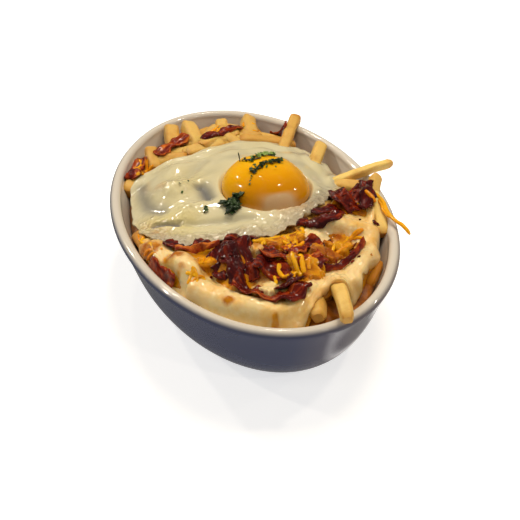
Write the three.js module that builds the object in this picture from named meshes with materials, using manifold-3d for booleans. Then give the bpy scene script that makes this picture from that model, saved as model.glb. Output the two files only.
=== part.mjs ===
// Cheese fries heaped in an oval baking dish, with melted cheese sauce, shredded
// cheddar, crisp bacon, a fried egg and chopped parsley. Millimetres, +Z up. The origin
// is the centre of the dish's underside, and the dish is long along Y.
import * as THREE from 'three';
import Module from 'manifold-3d';

const wasm = await Module();
wasm.setup();

// Dish: a flared oval with a rolled rim and a large rounded lower corner
const DISH_LENGTH = 200;
const DISH_WIDTH = 136;
const DISH_HEIGHT = 47.5;
const DISH_WALL = 5.5;
const CORNER_HEIGHT = 32;       // the rounded corner ends and the flared wall begins
const CORNER_INSET = 5;         // the wall there lies this far inside the rim's outline
const OVAL_SEGMENTS = 52;
const CORNER_STEPS = 5;
const LIP_STEPS = 4;

// Heap: the bare core of fries that everything else is fitted to
const FIT_GAP = 0.35;           // clearance between pieces that touch
const HEAP_CROWN = 51;          // height of the core's middle
const HEAP_EDGE = 39;           // height at which the core meets the wall at the sides
const EDGE_RISE_FRONT = 4;      // more than that at the front, as much less at the back
const EDGE_RISE_LEFT = 1.5;     // more on the left, as much less on the right
const HEAP_ROUNDNESS = 0.8;
const HEAP_RINGS = [0.94, 0.84, 0.7, 0.52, 0.3];   // shares of the way out

// Fries: square sticks with cut ends
const FRY_SIZE = 8;
const THIN_FRY_SIZE = 5;
const FRY_CHAMFER = 0.28;       // part of the side that each rounded edge takes
const FRY_STEPS = 4;
const FRY_DEPTH = 2.6;          // how far a lying fry is sunk in the core
const BACK_FRIES = 15;
const BACK_FRIES_X = [-36, 40];
const BACK_FRIES_Y = [58, 80];
const BACK_FRIES_CURVE = 0.006; // how fast the back row bends with the wall
const BACK_FRY_REACH = [8, 13]; // half lengths of the scattered fries
const SIDE_FRY_REACH = [7, 11];
const SIDE_FRY_SHARE = [0.82, 0.9];
const LOOSE_FRY_SIZE = [5.5, FRY_SIZE];
const LOOSE_FRY_LIFT = [-1.5, 1];
const LOOSE_FRY_BOW = [0, 1.5];
const BACK_FRY_TURN = 1;        // largest turns from lying along Y, in radians
const SIDE_FRY_TURN = 0.6;

// Sauce, egg and toppings
const SAUCE_THICKNESS = 2.2;
const SAUCE_EDGE = 0.9;
const SAUCE_SEGMENTS = 50;
const SAUCE_RINGS = [0.18, 0.36, 0.52, 0.66, 0.79, 0.9, 1];
const RIDGE_SHARPNESS = 1.3;
const YOLK_CENTRE = [8.6, -0.2];
const YOLK_RADIUS = 22;
const YOLK_HEIGHT = 12.5;
const YOLK_SEGMENTS = 28;
const YOLK_RINGS = [0.32, 0.6, 0.82, 0.95, 1];
const YOLK_FLATNESS = 2.8;      // how flat the dome's crown is, and how steep its side
const YOLK_STEEPNESS = 0.56;
const YOLK_SIDE = 2.2;          // least height of the dome inside its edge, and at it
const YOLK_EDGE = 1.4;
const WHITE_SEAT = 1.6;         // thickness of the white under the yolk
const WHITE_COLLAR = 4.6;       // thickness of the ring of white round the yolk
const WHITE_SKIRT = 2.6;        // thickness of the white further out
const WHITE_EDGE = 1.2;
const WHITE_SEAT_RING = 0.55;   // share of the yolk's radius at which the seat is split
const WHITE_COLLAR_FOOT = 2.5;  // how far outside the yolk the collar reaches full height
const WHITE_COLLAR_ENDS = [3, 16];
const WHITE_RINGS = [0.28, 0.52, 0.74, 0.9, 1];
const WHITE_SEGMENTS = 48;
const RUFFLE_LIFT = 0.9;
const RUFFLES = [13, 5];        // waves round the edge, one set on the other
const LUMP_SHARPNESS = 1.6;
const BACON_THICKNESS = 1.8;
const BACON_STEP = 3.2;         // length of the straight stretches of a curled rasher
const BACON_RIPPLE = 0.55;      // turn of a rasher's waves for each millimetre along it
const BACON_SKEW = 1.3;         // the waves run this much aslant
const BACON_TAPER = [0.5, 0.8];
const WIDE_BACON = 6.4;         // a wider rasher has three lanes of triangles, not two
const BACON_REACH = 0.6;        // share of a lane within which it clears what lies below
const SHRED_WIDTH = 2.2;
const SHRED_THICKNESS = 1.5;
const SHRED_TAPER = 0.7;
const LEAF_THICKNESS = 0.9;
const LEAF_TAPER = 0.25;
const LEAF_CURL = 0.8;          // height of a leaf's waves
const LEAF_CURLS = 9;           // and their turn from end to end, in radians
const LEAF_FOLD = 0.6;
const LEAF_REACH = 0.4;
const STRIP_STEPS = 6;
const MAP_CELL = 1;
const MAP_MARGIN = 28;          // the map of heights runs this far past the dish
const MAP_SAMPLING = 0.7;       // cells between the points sampled on a body
const SLIVER = 0.04;            // details finer than this are merged after a cut

// A repeatable random number between 0 and 1
function seededRandom(seed) {
  let state = seed;
  return () => {
    state = (state + 0x6d2b79f5) | 0;
    let mixed = Math.imul(state ^ (state >>> 15), 1 | state);
    mixed = (mixed + Math.imul(mixed ^ (mixed >>> 7), 61 | mixed)) ^ mixed;
    return ((mixed ^ (mixed >>> 14)) >>> 0) / 4294967296;
  };
}

const clamp = THREE.MathUtils.clamp;
const lerp = THREE.MathUtils.lerp;
const smoothstep = THREE.MathUtils.smoothstep;

// A closed body's geometry from its corners and triangles, turned to face outwards
function bodyGeometry(points, triangles) {
  let volume = 0;
  for (const [a, b, c] of triangles) {
    volume += points[a].dot(new THREE.Vector3().crossVectors(points[b], points[c]));
  }
  const order = volume > 0 ? triangles : triangles.map(([a, b, c]) => [a, c, b]);
  const geometry = new THREE.BufferGeometry();
  geometry.setAttribute('position', new THREE.Float32BufferAttribute(
    points.flatMap((p) => [p.x, p.y, p.z]), 3));
  geometry.setIndex(order.flat());
  return geometry;
}

// A body skinned over rings of equally many points, closed by a point at both ends
function ringBody(rings, startPoint, endPoint) {
  const count = rings[0].length;
  const points = [...rings.flat(), startPoint, endPoint];
  const start = points.length - 2;
  const end = points.length - 1;
  const lastRing = (rings.length - 1) * count;
  const triangles = [];
  for (let j = 0; j < count; j += 1) {
    const next = (j + 1) % count;
    triangles.push([start, next, j], [end, lastRing + j, lastRing + next]);
    for (let i = 0; i + 1 < rings.length; i += 1) {
      const low = i * count;
      const high = low + count;
      triangles.push([low + j, low + next, high + next], [low + j, high + next, high + j]);
    }
  }
  return bodyGeometry(points, triangles);
}

// A flat outline split into triangles: a middle point and rings spreading from it.
// The first rings are circles of the given radii, the rest share out the way to the edge.
function radialPlan(centre, edge, radii, fractions) {
  const points = [new THREE.Vector2(...centre)];
  const triangles = [];
  const count = edge.length;
  const inner = radii.length ? radii[radii.length - 1] : 0;
  const ringCount = radii.length + fractions.length;
  for (let i = 0; i < ringCount; i += 1) {
    for (const corner of edge) {
      const ray = new THREE.Vector2(corner.x - centre[0], corner.y - centre[1]);
      const reach = ray.length();
      const radius = i < radii.length
        ? radii[i] : lerp(inner, reach, fractions[i - radii.length]);
      points.push(ray.multiplyScalar(radius / reach).add(points[0]));
    }
  }
  for (let j = 0; j < count; j += 1) {
    const next = (j + 1) % count;
    triangles.push([0, 1 + j, 1 + next]);
    for (let i = 0; i + 1 < ringCount; i += 1) {
      const low = 1 + i * count;
      const high = low + count;
      triangles.push([low + j, high + j, high + next], [low + j, high + next, low + next]);
    }
  }
  return { points, triangles };
}

// A strip along a smooth path. along and across tell each point's place, 0 to 1.
function stripPlan(path, width, steps, lanes, endTaper) {
  const curve = new THREE.CatmullRomCurve3(path.map(([x, y]) => new THREE.Vector3(x, y, 0)));
  const points = [];
  const along = [];
  const across = [];
  for (let i = 0; i <= steps; i += 1) {
    const place = curve.getPointAt(i / steps);
    const way = curve.getTangentAt(i / steps);
    const taper = (i === 0 || i === steps) ? endTaper : 1;
    for (let j = 0; j <= lanes; j += 1) {
      const offset = (j / lanes - 0.5) * width * taper;
      points.push(new THREE.Vector2(place.x - way.y * offset, place.y + way.x * offset));
      along.push(i / steps);
      across.push(j / lanes);
    }
  }
  const triangles = [];
  const row = lanes + 1;
  for (let i = 0; i < steps; i += 1) {
    for (let j = 0; j < lanes; j += 1) {
      const a = i * row + j;
      triangles.push([a, a + row, a + row + 1], [a, a + row + 1, a + 1]);
    }
  }
  return { points, triangles, along, across };
}

// A closed sheet over a plan, between two lists of heights. Both faces are split alike.
function slab(plan, lows, highs) {
  const count = plan.points.length;
  const points = [
    ...plan.points.map((p, i) => new THREE.Vector3(p.x, p.y, lows[i])),
    ...plan.points.map((p, i) => new THREE.Vector3(p.x, p.y, highs[i])),
  ];
  const triangles = [];
  const edges = new Set();
  for (const [a, b, c] of plan.triangles) {
    triangles.push([a, c, b], [a + count, b + count, c + count]);
    for (const [p, q] of [[a, b], [b, c], [c, a]]) edges.add(`${p},${q}`);
  }
  for (const edge of edges) {
    const [p, q] = edge.split(',').map(Number);
    if (!edges.has(`${q},${p}`)) triangles.push([p, q, q + count], [p, q + count, p + count]);
  }
  return bodyGeometry(points, triangles);
}

// Points spaced evenly round a smooth closed outline
function roundOutline(corners, count) {
  const curve = new THREE.CatmullRomCurve3(
    corners.map(([x, y]) => new THREE.Vector3(x, y, 0)), true, 'centripetal');
  return curve.getSpacedPoints(count).slice(0, count);
}

// An outline that runs clockwise seen from above, moved outwards
function grownOutline(points, distance) {
  return points.map((point, i) => {
    const before = points[(i + points.length - 1) % points.length];
    const after = points[(i + 1) % points.length];
    const way = new THREE.Vector3().subVectors(after, before).normalize();
    return new THREE.Vector3(point.x - way.y * distance, point.y + way.x * distance, 0);
  });
}

function toSolid(geometry) {
  return new wasm.Manifold(new wasm.Mesh({
    numProp: 3,
    vertProperties: new Float32Array(geometry.attributes.position.array),
    triVerts: new Uint32Array(geometry.index.array),
  }));
}

// The largest piece that a cut leaves, without slivers thinner than the tolerance
function largestPiece(solid) {
  const largest = solid.decompose().reduce((best, piece) => (
    piece.volume() > best.volume() ? piece : best));
  return largest.asOriginal().simplify(SLIVER);
}

function toGeometry(solid) {
  const mesh = solid.getMesh();
  const geometry = new THREE.BufferGeometry();
  geometry.setAttribute('position', new THREE.Float32BufferAttribute(mesh.vertProperties, 3));
  geometry.setIndex([...mesh.triVerts]);
  return geometry;
}

// Heights of all that has been laid so far, on a fine grid, for laying the next piece
class HeightMap {
  constructor() {
    this.columns = Math.ceil((DISH_WIDTH + 2 * MAP_MARGIN) / MAP_CELL);
    this.rows = Math.ceil((DISH_LENGTH + 2 * MAP_MARGIN) / MAP_CELL);
    this.heights = new Float32Array(this.columns * this.rows);
  }

  column(x) { return Math.round(x / MAP_CELL + this.columns / 2); }

  row(y) { return Math.round(y / MAP_CELL + this.rows / 2); }

  raiseTo(column, row, height) {
    if (column < 0 || row < 0 || column >= this.columns || row >= this.rows) return;
    const cell = row * this.columns + column;
    this.heights[cell] = Math.max(this.heights[cell], height);
  }

  // Raises the map to a body's upper side, sampled closer than the cells
  add(geometry) {
    const position = geometry.attributes.position;
    const corners = [0, 1, 2].map(() => new THREE.Vector3());
    const index = geometry.index.array;
    for (let t = 0; t < index.length; t += 3) {
      corners.forEach((corner, k) => corner.fromBufferAttribute(position, index[t + k]));
      const longest = Math.max(corners[0].distanceTo(corners[1]),
        corners[1].distanceTo(corners[2]), corners[2].distanceTo(corners[0]));
      const steps = Math.ceil(longest / (MAP_SAMPLING * MAP_CELL)) + 1;
      for (let i = 0; i <= steps; i += 1) {
        for (let j = 0; i + j <= steps; j += 1) {
          const u = i / steps;
          const v = j / steps;
          const [a, b, c] = corners;
          const mix = (axis) => a[axis] * (1 - u - v) + b[axis] * u + c[axis] * v;
          this.raiseTo(this.column(mix('x')), this.row(mix('y')), mix('z'));
        }
      }
    }
  }

  // The highest point within reach of a place
  highest(x, y, reach) {
    const cells = Math.ceil(reach / MAP_CELL);
    let height = 0;
    for (let i = -cells; i <= cells; i += 1) {
      for (let j = -cells; j <= cells; j += 1) {
        if (Math.hypot(i, j) > cells) continue;
        const cell = (this.row(y) + j) * this.columns + this.column(x) + i;
        height = Math.max(height, this.heights[cell] ?? 0);
      }
    }
    return height;
  }
}

// Dish

// How far inside the rim's outline the cavity's wall lies at a height
function cavityInset(z) {
  const lipHeight = DISH_HEIGHT - DISH_WALL / 2;
  if (z >= CORNER_HEIGHT) {
    return DISH_WALL + CORNER_INSET * clamp((lipHeight - z) / (lipHeight - CORNER_HEIGHT), 0, 1);
  }
  const radius = CORNER_HEIGHT - DISH_WALL;
  const drop = clamp(CORNER_HEIGHT - z, 0, radius);
  return CORNER_INSET + CORNER_HEIGHT - Math.sqrt(radius ** 2 - drop ** 2);
}

function ovalRing(inset, z) {
  return Array.from({ length: OVAL_SEGMENTS }, (_, j) => {
    const angle = (2 * Math.PI * j) / OVAL_SEGMENTS;
    return new THREE.Vector3((DISH_WIDTH / 2 - inset) * Math.cos(angle),
      (DISH_LENGTH / 2 - inset) * Math.sin(angle), z);
  });
}

// The rounded lower corner, from the floor up: insets and heights on an arc
function cornerProfile(radius) {
  return Array.from({ length: CORNER_STEPS + 1 }, (_, i) => {
    const turn = (Math.PI / 2) * (i / CORNER_STEPS);
    return [CORNER_INSET + CORNER_HEIGHT - radius * Math.sin(turn),
      CORNER_HEIGHT - radius * Math.cos(turn)];
  });
}

// The dish's shell. With grow the wall is that much thicker on every side.
function dishBody(grow = 0) {
  const lipRadius = DISH_WALL / 2 + grow;
  const lip = Array.from({ length: LIP_STEPS + 1 }, (_, i) => {
    const turn = Math.PI * (i / LIP_STEPS);
    return [DISH_WALL / 2 - lipRadius * Math.cos(turn),
      DISH_HEIGHT - DISH_WALL / 2 + lipRadius * Math.sin(turn)];
  });
  const profile = [
    ...cornerProfile(CORNER_HEIGHT + grow),
    ...lip,
    ...cornerProfile(CORNER_HEIGHT - DISH_WALL - grow).reverse(),
  ];
  const rings = profile.map(([inset, z]) => ovalRing(inset, z));
  return ringBody(rings, new THREE.Vector3(0, 0, -grow),
    new THREE.Vector3(0, 0, DISH_WALL + grow));
}

// Heap of fries

function heapEdge(x, y) {
  return HEAP_EDGE - EDGE_RISE_FRONT * (2 * y / DISH_LENGTH)
    - EDGE_RISE_LEFT * (2 * x / DISH_WIDTH);
}

// Height of the bare core over a point of the plan
function heapHeight(x, y) {
  const edge = heapEdge(x, y);
  const inset = cavityInset(edge) + FIT_GAP;
  const away = (x / (DISH_WIDTH / 2 - inset)) ** 2 + (y / (DISH_LENGTH / 2 - inset)) ** 2;
  return edge + (HEAP_CROWN - edge) * Math.max(0, 1 - away) ** HEAP_ROUNDNESS;
}

// The core: the cavity's form below, a shallow mound above
function heapCore() {
  const radius = CORNER_HEIGHT - DISH_WALL - FIT_GAP;
  const rings = cornerProfile(radius).map(([inset, z]) => ovalRing(inset, z));
  const rim = ovalRing(DISH_WALL, 0).map(({ x, y }) => heapEdge(x, y));
  const edge = rim.map((z, j) => ovalRing(cavityInset(z) + FIT_GAP, z)[j]);
  rings.push(edge);
  for (const share of HEAP_RINGS) {
    rings.push(edge.map((point) => new THREE.Vector3(
      point.x * share, point.y * share, heapHeight(point.x * share, point.y * share))));
  }
  return ringBody(rings, new THREE.Vector3(0, 0, CORNER_HEIGHT - radius),
    new THREE.Vector3(0, 0, heapHeight(0, 0)));
}

// A square stick from one point to another, bowed upwards by bow. A plain one has sharp
// edges, any other rounded ones.
function fryBody({ from, to, size = FRY_SIZE, bow = 0, roll = 0, taper = 0.85, plain = false }) {
  const start = new THREE.Vector3(...from);
  const end = new THREE.Vector3(...to);
  const way = new THREE.Vector3().subVectors(end, start).normalize();
  const side = new THREE.Vector3().crossVectors(new THREE.Vector3(0, 0, 1), way).normalize();
  const up = new THREE.Vector3().crossVectors(way, side);
  const half = size / 2;
  const cut = half * (1 - 2 * FRY_CHAMFER);
  const section = plain
    ? [[half, half], [-half, half], [-half, -half], [half, -half]]
    : [[half, cut], [cut, half], [-cut, half], [-half, cut],
      [-half, -cut], [-cut, -half], [cut, -half], [half, -cut]];
  const at = (t) => new THREE.Vector3().lerpVectors(start, end, t)
    .addScaledVector(up, bow * 4 * t * (1 - t));
  const rings = Array.from({ length: FRY_STEPS + 1 }, (_, i) => {
    const t = i / FRY_STEPS;
    const scale = (i === 0 || i === FRY_STEPS) ? taper : 1;
    return section.map(([a, b]) => {
      const turned = new THREE.Vector2(a, b).rotateAround(new THREE.Vector2(), roll);
      return at(t).addScaledVector(side, turned.x * scale).addScaledVector(up, turned.y * scale);
    });
  });
  return ringBody(rings, at(0), at(1));
}

// Height of a lying fry's middle line over the core
const lying = (x, y, lift = 0) => [x, y, heapHeight(x, y) + FRY_SIZE / 2 - FRY_DEPTH + lift];

// The fries that stand out in the heap, clockwise from the back left
const SHOWN_FRIES = [
  { from: [-38, 46, 44], to: [-37, 66, 45], size: 7 },
  { from: [-26, 58, 44], to: [-21, 86, 45.5], bow: 1 },
  { from: [-12, 56, 46], to: [-12, 84, 47], bow: 1.5, roll: 0.3 },
  { from: [4, 62, 44], to: [9, 86, 45], size: 7 },
  { from: [18, 56, 45], to: [24, 83, 46], bow: 1, roll: 0.5 },
  { from: [30, 40, 44], to: [50, 72, 49], size: 6.5, bow: 1 },
  { from: [42, 22, 45], to: [54, 41, 47], size: 7, roll: 0.4 },
  { from: [36, 6, 46], to: [79, 4, 53.5], size: THIN_FRY_SIZE, bow: 1.5 },
  { from: [46, 4, 46], to: [58, -7, 46], size: 6.5 },
  { from: [56, -20, 44], to: [67.5, -3, 50.5], size: 6, roll: 0.6 },
  { from: [60, -14, 44], to: [53, -42, 43], size: 7.5, bow: 2 },
  { from: [18, -70, 43.5], to: [10, -101, 52.5], size: 9, bow: 3, taper: 0.9 },
  { from: [8, -74, 42], to: [2.5, -91, 46], size: 7, roll: 0.4 },
  { from: [34, -70, 38], to: [44, -60, 42], size: 6 },
  { from: [-46, -16, 44], to: [-54, -30, 46.5], size: 7, bow: 1 },
  { from: [-57, -6, 41], to: [-50, -34, 41], size: 7, roll: 0.5 },
  { from: [-56, 34, 40], to: [-42, 58, 42], size: 7 },
];

// A thread of cheese that hangs from the right-hand fries over the rim
const THREAD = [[59, -12, 45.5], [60.5, -33, 49.3], [63.8, -48, 48]];

function threadBodies() {
  return THREAD.slice(1).map((to, i) => fryBody({ from: THREAD[i], to, size: SHRED_WIDTH }));
}

// Stretches of the wall with loose fries along them, as angles in half turns from +X
const SIDE_FRIES = [
  { start: -0.4, end: 0.3, count: 11 },
  { start: 0.7, end: 0.96, count: 5 },
];

// More fries scattered round the rest of the heap, wherever nothing covers them
function scatteredFries() {
  const random = seededRandom(11);
  const fries = [];
  const add = (x, y, turn, reach) => {
    const ends = [-1, 1].map((end) => lying(
      x + end * reach * Math.sin(turn), y + end * reach * Math.cos(turn),
      lerp(...LOOSE_FRY_LIFT, random())));
    fries.push({ from: ends[0], to: ends[1], size: lerp(...LOOSE_FRY_SIZE, random()),
      roll: random(), bow: lerp(...LOOSE_FRY_BOW, random()), plain: true });
  };
  for (let i = 0; i < BACK_FRIES; i += 1) {
    const x = lerp(...BACK_FRIES_X, (i + random()) / BACK_FRIES);
    add(x, lerp(...BACK_FRIES_Y, random()) - BACK_FRIES_CURVE * x * x,
      lerp(-BACK_FRY_TURN, BACK_FRY_TURN, random()), lerp(...BACK_FRY_REACH, random()));
  }
  for (const { start, end, count } of SIDE_FRIES) {
    for (let i = 0; i < count; i += 1) {
      const angle = lerp(start, end, (i + 0.5) / count) * Math.PI;
      const share = lerp(...SIDE_FRY_SHARE, random());
      add((DISH_WIDTH / 2 - DISH_WALL) * share * Math.cos(angle),
        (DISH_LENGTH / 2 - DISH_WALL) * share * Math.sin(angle),
        lerp(-SIDE_FRY_TURN, SIDE_FRY_TURN, random()), lerp(...SIDE_FRY_REACH, random()));
    }
  }
  return fries;
}

// Cheese sauce

const SAUCE_CENTRE = [2, -64];
const SAUCE_CORNERS = [
  [46, -14], [54, -26], [51, -44], [44, -59], [35, -71], [28, -80], [21, -83], [15, -79],
  [9, -80], [4, -84], [-3, -88], [-17, -88.5], [-30, -80.5], [-42, -67], [-50, -53],
  [-53, -40], [-44, -34], [-28, -39], [-6, -43], [14, -39], [30, -26],
];

// Coated fries that raise the sauce in ridges: ends, half width and height
const SAUCE_RIDGES = [
  { from: [-50, -54], to: [-34, -72], width: 7.5, height: 5 },
  { from: [-34, -72], to: [-14, -86], width: 7, height: 4.6 },
  { from: [-46, -50], to: [-41, -43], width: 7.5, height: 4.5 },
  { from: [26, -38], to: [46, -45], width: 9, height: 4.5 },
  { from: [46, -47], to: [25, -75], width: 6.5, height: 4.4 },
  { from: [-10, -84], to: [4, -76], width: 7, height: 3 },
  { from: [-12, -60], to: [12, -56], width: 6, height: 2 },
];

function distanceToSegment(x, y, from, to) {
  const way = new THREE.Vector2(to[0] - from[0], to[1] - from[1]);
  const offset = new THREE.Vector2(x - from[0], y - from[1]);
  const t = clamp(offset.dot(way) / way.lengthSq(), 0, 1);
  return offset.addScaledVector(way, -t).length();
}

function sauceThickness(x, y) {
  let ridge = 0;
  for (const { from, to, width, height } of SAUCE_RIDGES) {
    const away = clamp(distanceToSegment(x, y, from, to) / width, 0, 1);
    ridge = Math.max(ridge, height * Math.cos((away * Math.PI) / 2) ** RIDGE_SHARPNESS);
  }
  return SAUCE_THICKNESS + ridge;
}

function sauceBody(grow = 0) {
  const outline = grownOutline(roundOutline(SAUCE_CORNERS, SAUCE_SEGMENTS), grow);
  const plan = radialPlan(SAUCE_CENTRE, outline, [], SAUCE_RINGS);
  const lows = plan.points.map((p) => heapHeight(p.x, p.y) + FIT_GAP - grow);
  const edgeStart = plan.points.length - outline.length;
  const highs = plan.points.map((p, i) => {
    const thickness = i < edgeStart ? sauceThickness(p.x, p.y) : SAUCE_EDGE;
    return heapHeight(p.x, p.y) + FIT_GAP + thickness + grow;
  });
  return slab(plan, lows, highs);
}

// Fried egg

const WHITE_CORNERS = [
  [51, -3], [47.5, -9], [41, -13], [33, -18.5], [24.5, -25.5], [17.5, -31], [10, -35.5],
  [3, -38.5], [-5, -39.5], [-13, -38], [-22, -36.5], [-30, -35.5], [-38, -32.5],
  [-46, -26.5], [-52, -17], [-56.5, -9], [-58, 0], [-57, 11], [-56, 24], [-53, 34],
  [-47, 41], [-38, 43], [-28, 45], [-19, 46], [-9, 48.5], [4, 51], [16, 52], [27, 50.5],
  [36, 48], [43, 43], [48, 35], [51, 25], [53, 14], [53, 5],
];

// Waves in the white: a blister on the left, two valleys and lumps along the back
const WHITE_LUMPS = [
  { at: [-36, 12], radius: 15, height: 4.2 },
  { at: [-42, -8], radius: 12, height: 2.6 },
  { at: [-30, 32], radius: 11, height: 2.2 },
  { at: [2, 40], radius: 11, height: 1.6 },
  { at: [34, 30], radius: 10, height: 1.4 },
  { at: [-10, -30], radius: 11, height: 1.5 },
  { at: [28, -16], radius: 9, height: 1.2 },
];

function whiteThickness(x, y) {
  const radius = Math.hypot(x - YOLK_CENTRE[0], y - YOLK_CENTRE[1]);
  const rim = smoothstep(radius, YOLK_RADIUS + FIT_GAP, YOLK_RADIUS + WHITE_COLLAR_FOOT);
  const [collarEnd, skirtStart] = WHITE_COLLAR_ENDS;
  const skirt = smoothstep(radius, YOLK_RADIUS + collarEnd, YOLK_RADIUS + skirtStart);
  let thickness = lerp(WHITE_SEAT, lerp(WHITE_COLLAR, WHITE_SKIRT, skirt), rim);
  for (const { at, radius: spread, height } of WHITE_LUMPS) {
    const away = Math.hypot(x - at[0], y - at[1]) / spread;
    thickness += rim * height * Math.exp(-away * away * LUMP_SHARPNESS);
  }
  return thickness;
}

// The front edge is ruffled and stands a little off what lies under it
function whiteLift(p) {
  const angle = Math.atan2(p.y, p.x);
  const [fine, coarse] = RUFFLES;
  return RUFFLE_LIFT * (1 + Math.sin(angle * fine) * Math.sin(angle * coarse));
}

function whiteBody(grow = 0) {
  const outline = grownOutline(roundOutline(WHITE_CORNERS, WHITE_SEGMENTS), grow);
  const radii = [YOLK_RADIUS * WHITE_SEAT_RING, YOLK_RADIUS + FIT_GAP,
    YOLK_RADIUS + WHITE_COLLAR_FOOT];
  const plan = radialPlan(YOLK_CENTRE, outline, radii, WHITE_RINGS);
  const edgeStart = plan.points.length - outline.length;
  const bases = plan.points.map((p, i) => (
    heapHeight(p.x, p.y) + FIT_GAP + (i < edgeStart ? 0 : whiteLift(p))));
  const lows = bases.map((base) => base - grow);
  const highs = plan.points.map((p, i) => (
    bases[i] + grow + (i < edgeStart ? whiteThickness(p.x, p.y) : WHITE_EDGE)));
  return slab(plan, lows, highs);
}

// The yolk's dome stands on the white's seat, a little lower towards its edge
function yolkBody() {
  const outline = Array.from({ length: YOLK_SEGMENTS }, (_, i) => {
    const angle = (2 * Math.PI * i) / YOLK_SEGMENTS;
    return new THREE.Vector3(YOLK_CENTRE[0] + YOLK_RADIUS * Math.cos(angle),
      YOLK_CENTRE[1] + YOLK_RADIUS * Math.sin(angle), 0);
  });
  const plan = radialPlan(YOLK_CENTRE, outline, [], YOLK_RINGS);
  const seat = plan.points.map((p) => heapHeight(p.x, p.y) + 2 * FIT_GAP + WHITE_SEAT);
  const edgeStart = plan.points.length - outline.length;
  const highs = plan.points.map((p, i) => {
    const away = Math.hypot(p.x - YOLK_CENTRE[0], p.y - YOLK_CENTRE[1]) / YOLK_RADIUS;
    const dome = YOLK_HEIGHT * Math.max(0, 1 - away ** YOLK_FLATNESS) ** YOLK_STEEPNESS;
    return seat[i] + (i < edgeStart ? Math.max(dome, YOLK_SIDE) : YOLK_EDGE);
  });
  return slab(plan, seat, highs);
}

// Bacon: broken rashers, each a thin strip that curls as it crisps

const BACON = [
  { path: [[-28, -44], [-27, -53], [-24, -63]], width: 12, wave: 1.4 },
  { path: [[-46, -32], [-39, -37], [-29, -41]], width: 4.5, wave: 1.2 },
  { path: [[-17, -46], [-18, -55], [-17, -64]], width: 7, wave: 1.2 },
  { path: [[-10, -50], [-8, -58], [-4, -67]], width: 10, wave: 1.2 },
  { path: [[2, -51], [12, -53], [21, -58]], width: 8, wave: 1.5 },
  { path: [[-28, -68], [-19, -76], [-9, -79], [1, -77]], width: 6, wave: 1.8 },
  { path: [[-14, -70], [-5, -73]], width: 6, wave: 1 },
  { path: [[16, -66], [26, -66], [35, -59], [40, -50]], width: 3.4, wave: 0.5, tilt: 2.2 },
  { path: [[10, -60], [20, -61]], width: 6, wave: 1.2 },
  { path: [[15, -39], [23, -36], [31, -39]], width: 6, wave: 1.2 },
  { path: [[36, -23], [44, -18], [51, -12]], width: 12, wave: 2 },
  { path: [[47, -32], [53, -24], [57, -12]], width: 5.5, wave: 1.4 },
  { path: [[49, -42], [51, -36]], width: 4.5, wave: 0.6 },
  { path: [[-55, -36], [-51, -46], [-47, -53]], width: 4.5, wave: 0.8 },
  { path: [[-50, 49], [-44, 55], [-41, 62]], width: 9, wave: 1.2 },
  { path: [[-31, 53], [-27, 59], [-24, 67]], width: 8, wave: 1.4 },
  { path: [[-9, 60], [2, 62], [12, 67]], width: 6.5, wave: 1.6 },
  { path: [[31, 56], [34, 66], [36, 76]], width: 7, wave: 1.6 },
  { path: [[-2, -58], [5, -64], [6, -72]], width: 7, wave: 1 },
  { path: [[22, -33], [29, -29], [34, -26]], width: 6.5, wave: 1 },
  { path: [[-24, -52], [-21, -60], [-20, -68]], width: 5, wave: 1 },
  { path: [[-8, -48], [0, -53], [9, -58]], width: 6, wave: 1.2 },
];

function baconBody(map, { path, width, wave, tilt = 0 }, seed) {
  const random = seededRandom(seed);
  const phase = random() * Math.PI * 2;
  const length = new THREE.CatmullRomCurve3(
    path.map(([x, y]) => new THREE.Vector3(x, y, 0))).getLength();
  const steps = Math.max(4, Math.round(length / BACON_STEP));
  const lanes = width > WIDE_BACON ? 3 : 2;
  const plan = stripPlan(path, width, steps, lanes, lerp(...BACON_TAPER, random()));
  const reach = Math.max(length / steps, width / lanes) * BACON_REACH;
  const lows = plan.points.map((p, i) => {
    const ripple = 0.5 + 0.5 * Math.sin(phase + plan.along[i] * length * BACON_RIPPLE
      + plan.across[i] * BACON_SKEW);
    return map.highest(p.x, p.y, reach) + FIT_GAP + wave * ripple + tilt * plan.across[i];
  });
  return slab(plan, lows, lows.map((low) => low + BACON_THICKNESS));
}

// Shredded cheddar: soft strips, each fused to the sauce or the fries that it lies on

const SAUCE_SHREDS = [
  [[-8, -47.5], [2, -49], [10, -48]], [[-4, -50], [6, -51], [14, -47]],
  [[22, -48], [30, -51], [38, -50]], [[-40, -56], [-34, -52], [-36, -46]],
  [[2, -64], [8, -68], [9, -74]], [[16, -52], [26, -56], [32, -55]],
  [[-44, -44], [-40, -49], [-42, -55]], [[-33, -60], [-38, -64], [-36, -70]],
  [[24, -44], [34, -49], [41, -45]],
];

function shredBody(map, path) {
  const plan = stripPlan(path, SHRED_WIDTH, STRIP_STEPS, 1, SHRED_TAPER);
  const tops = plan.points.map((p) => map.highest(p.x, p.y, SHRED_WIDTH / 2));
  return slab(plan, tops.map((top) => top - SHRED_THICKNESS),
    tops.map((top) => top + SHRED_THICKNESS));
}

// Parsley: a large torn leaf, a sprig that crosses the yolk and a pale tuft behind it

function leafBody(map, path, width) {
  const plan = stripPlan(path, width, STRIP_STEPS, 2, LEAF_TAPER);
  const lows = plan.points.map((p, i) => map.highest(p.x, p.y, width * LEAF_REACH) + FIT_GAP
    + LEAF_CURL * (0.5 + 0.5 * Math.sin(plan.along[i] * LEAF_CURLS))
    + LEAF_FOLD * Math.abs(plan.across[i] - 0.5));
  return slab(plan, lows, lows.map((low) => low + LEAF_THICKNESS));
}

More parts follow.
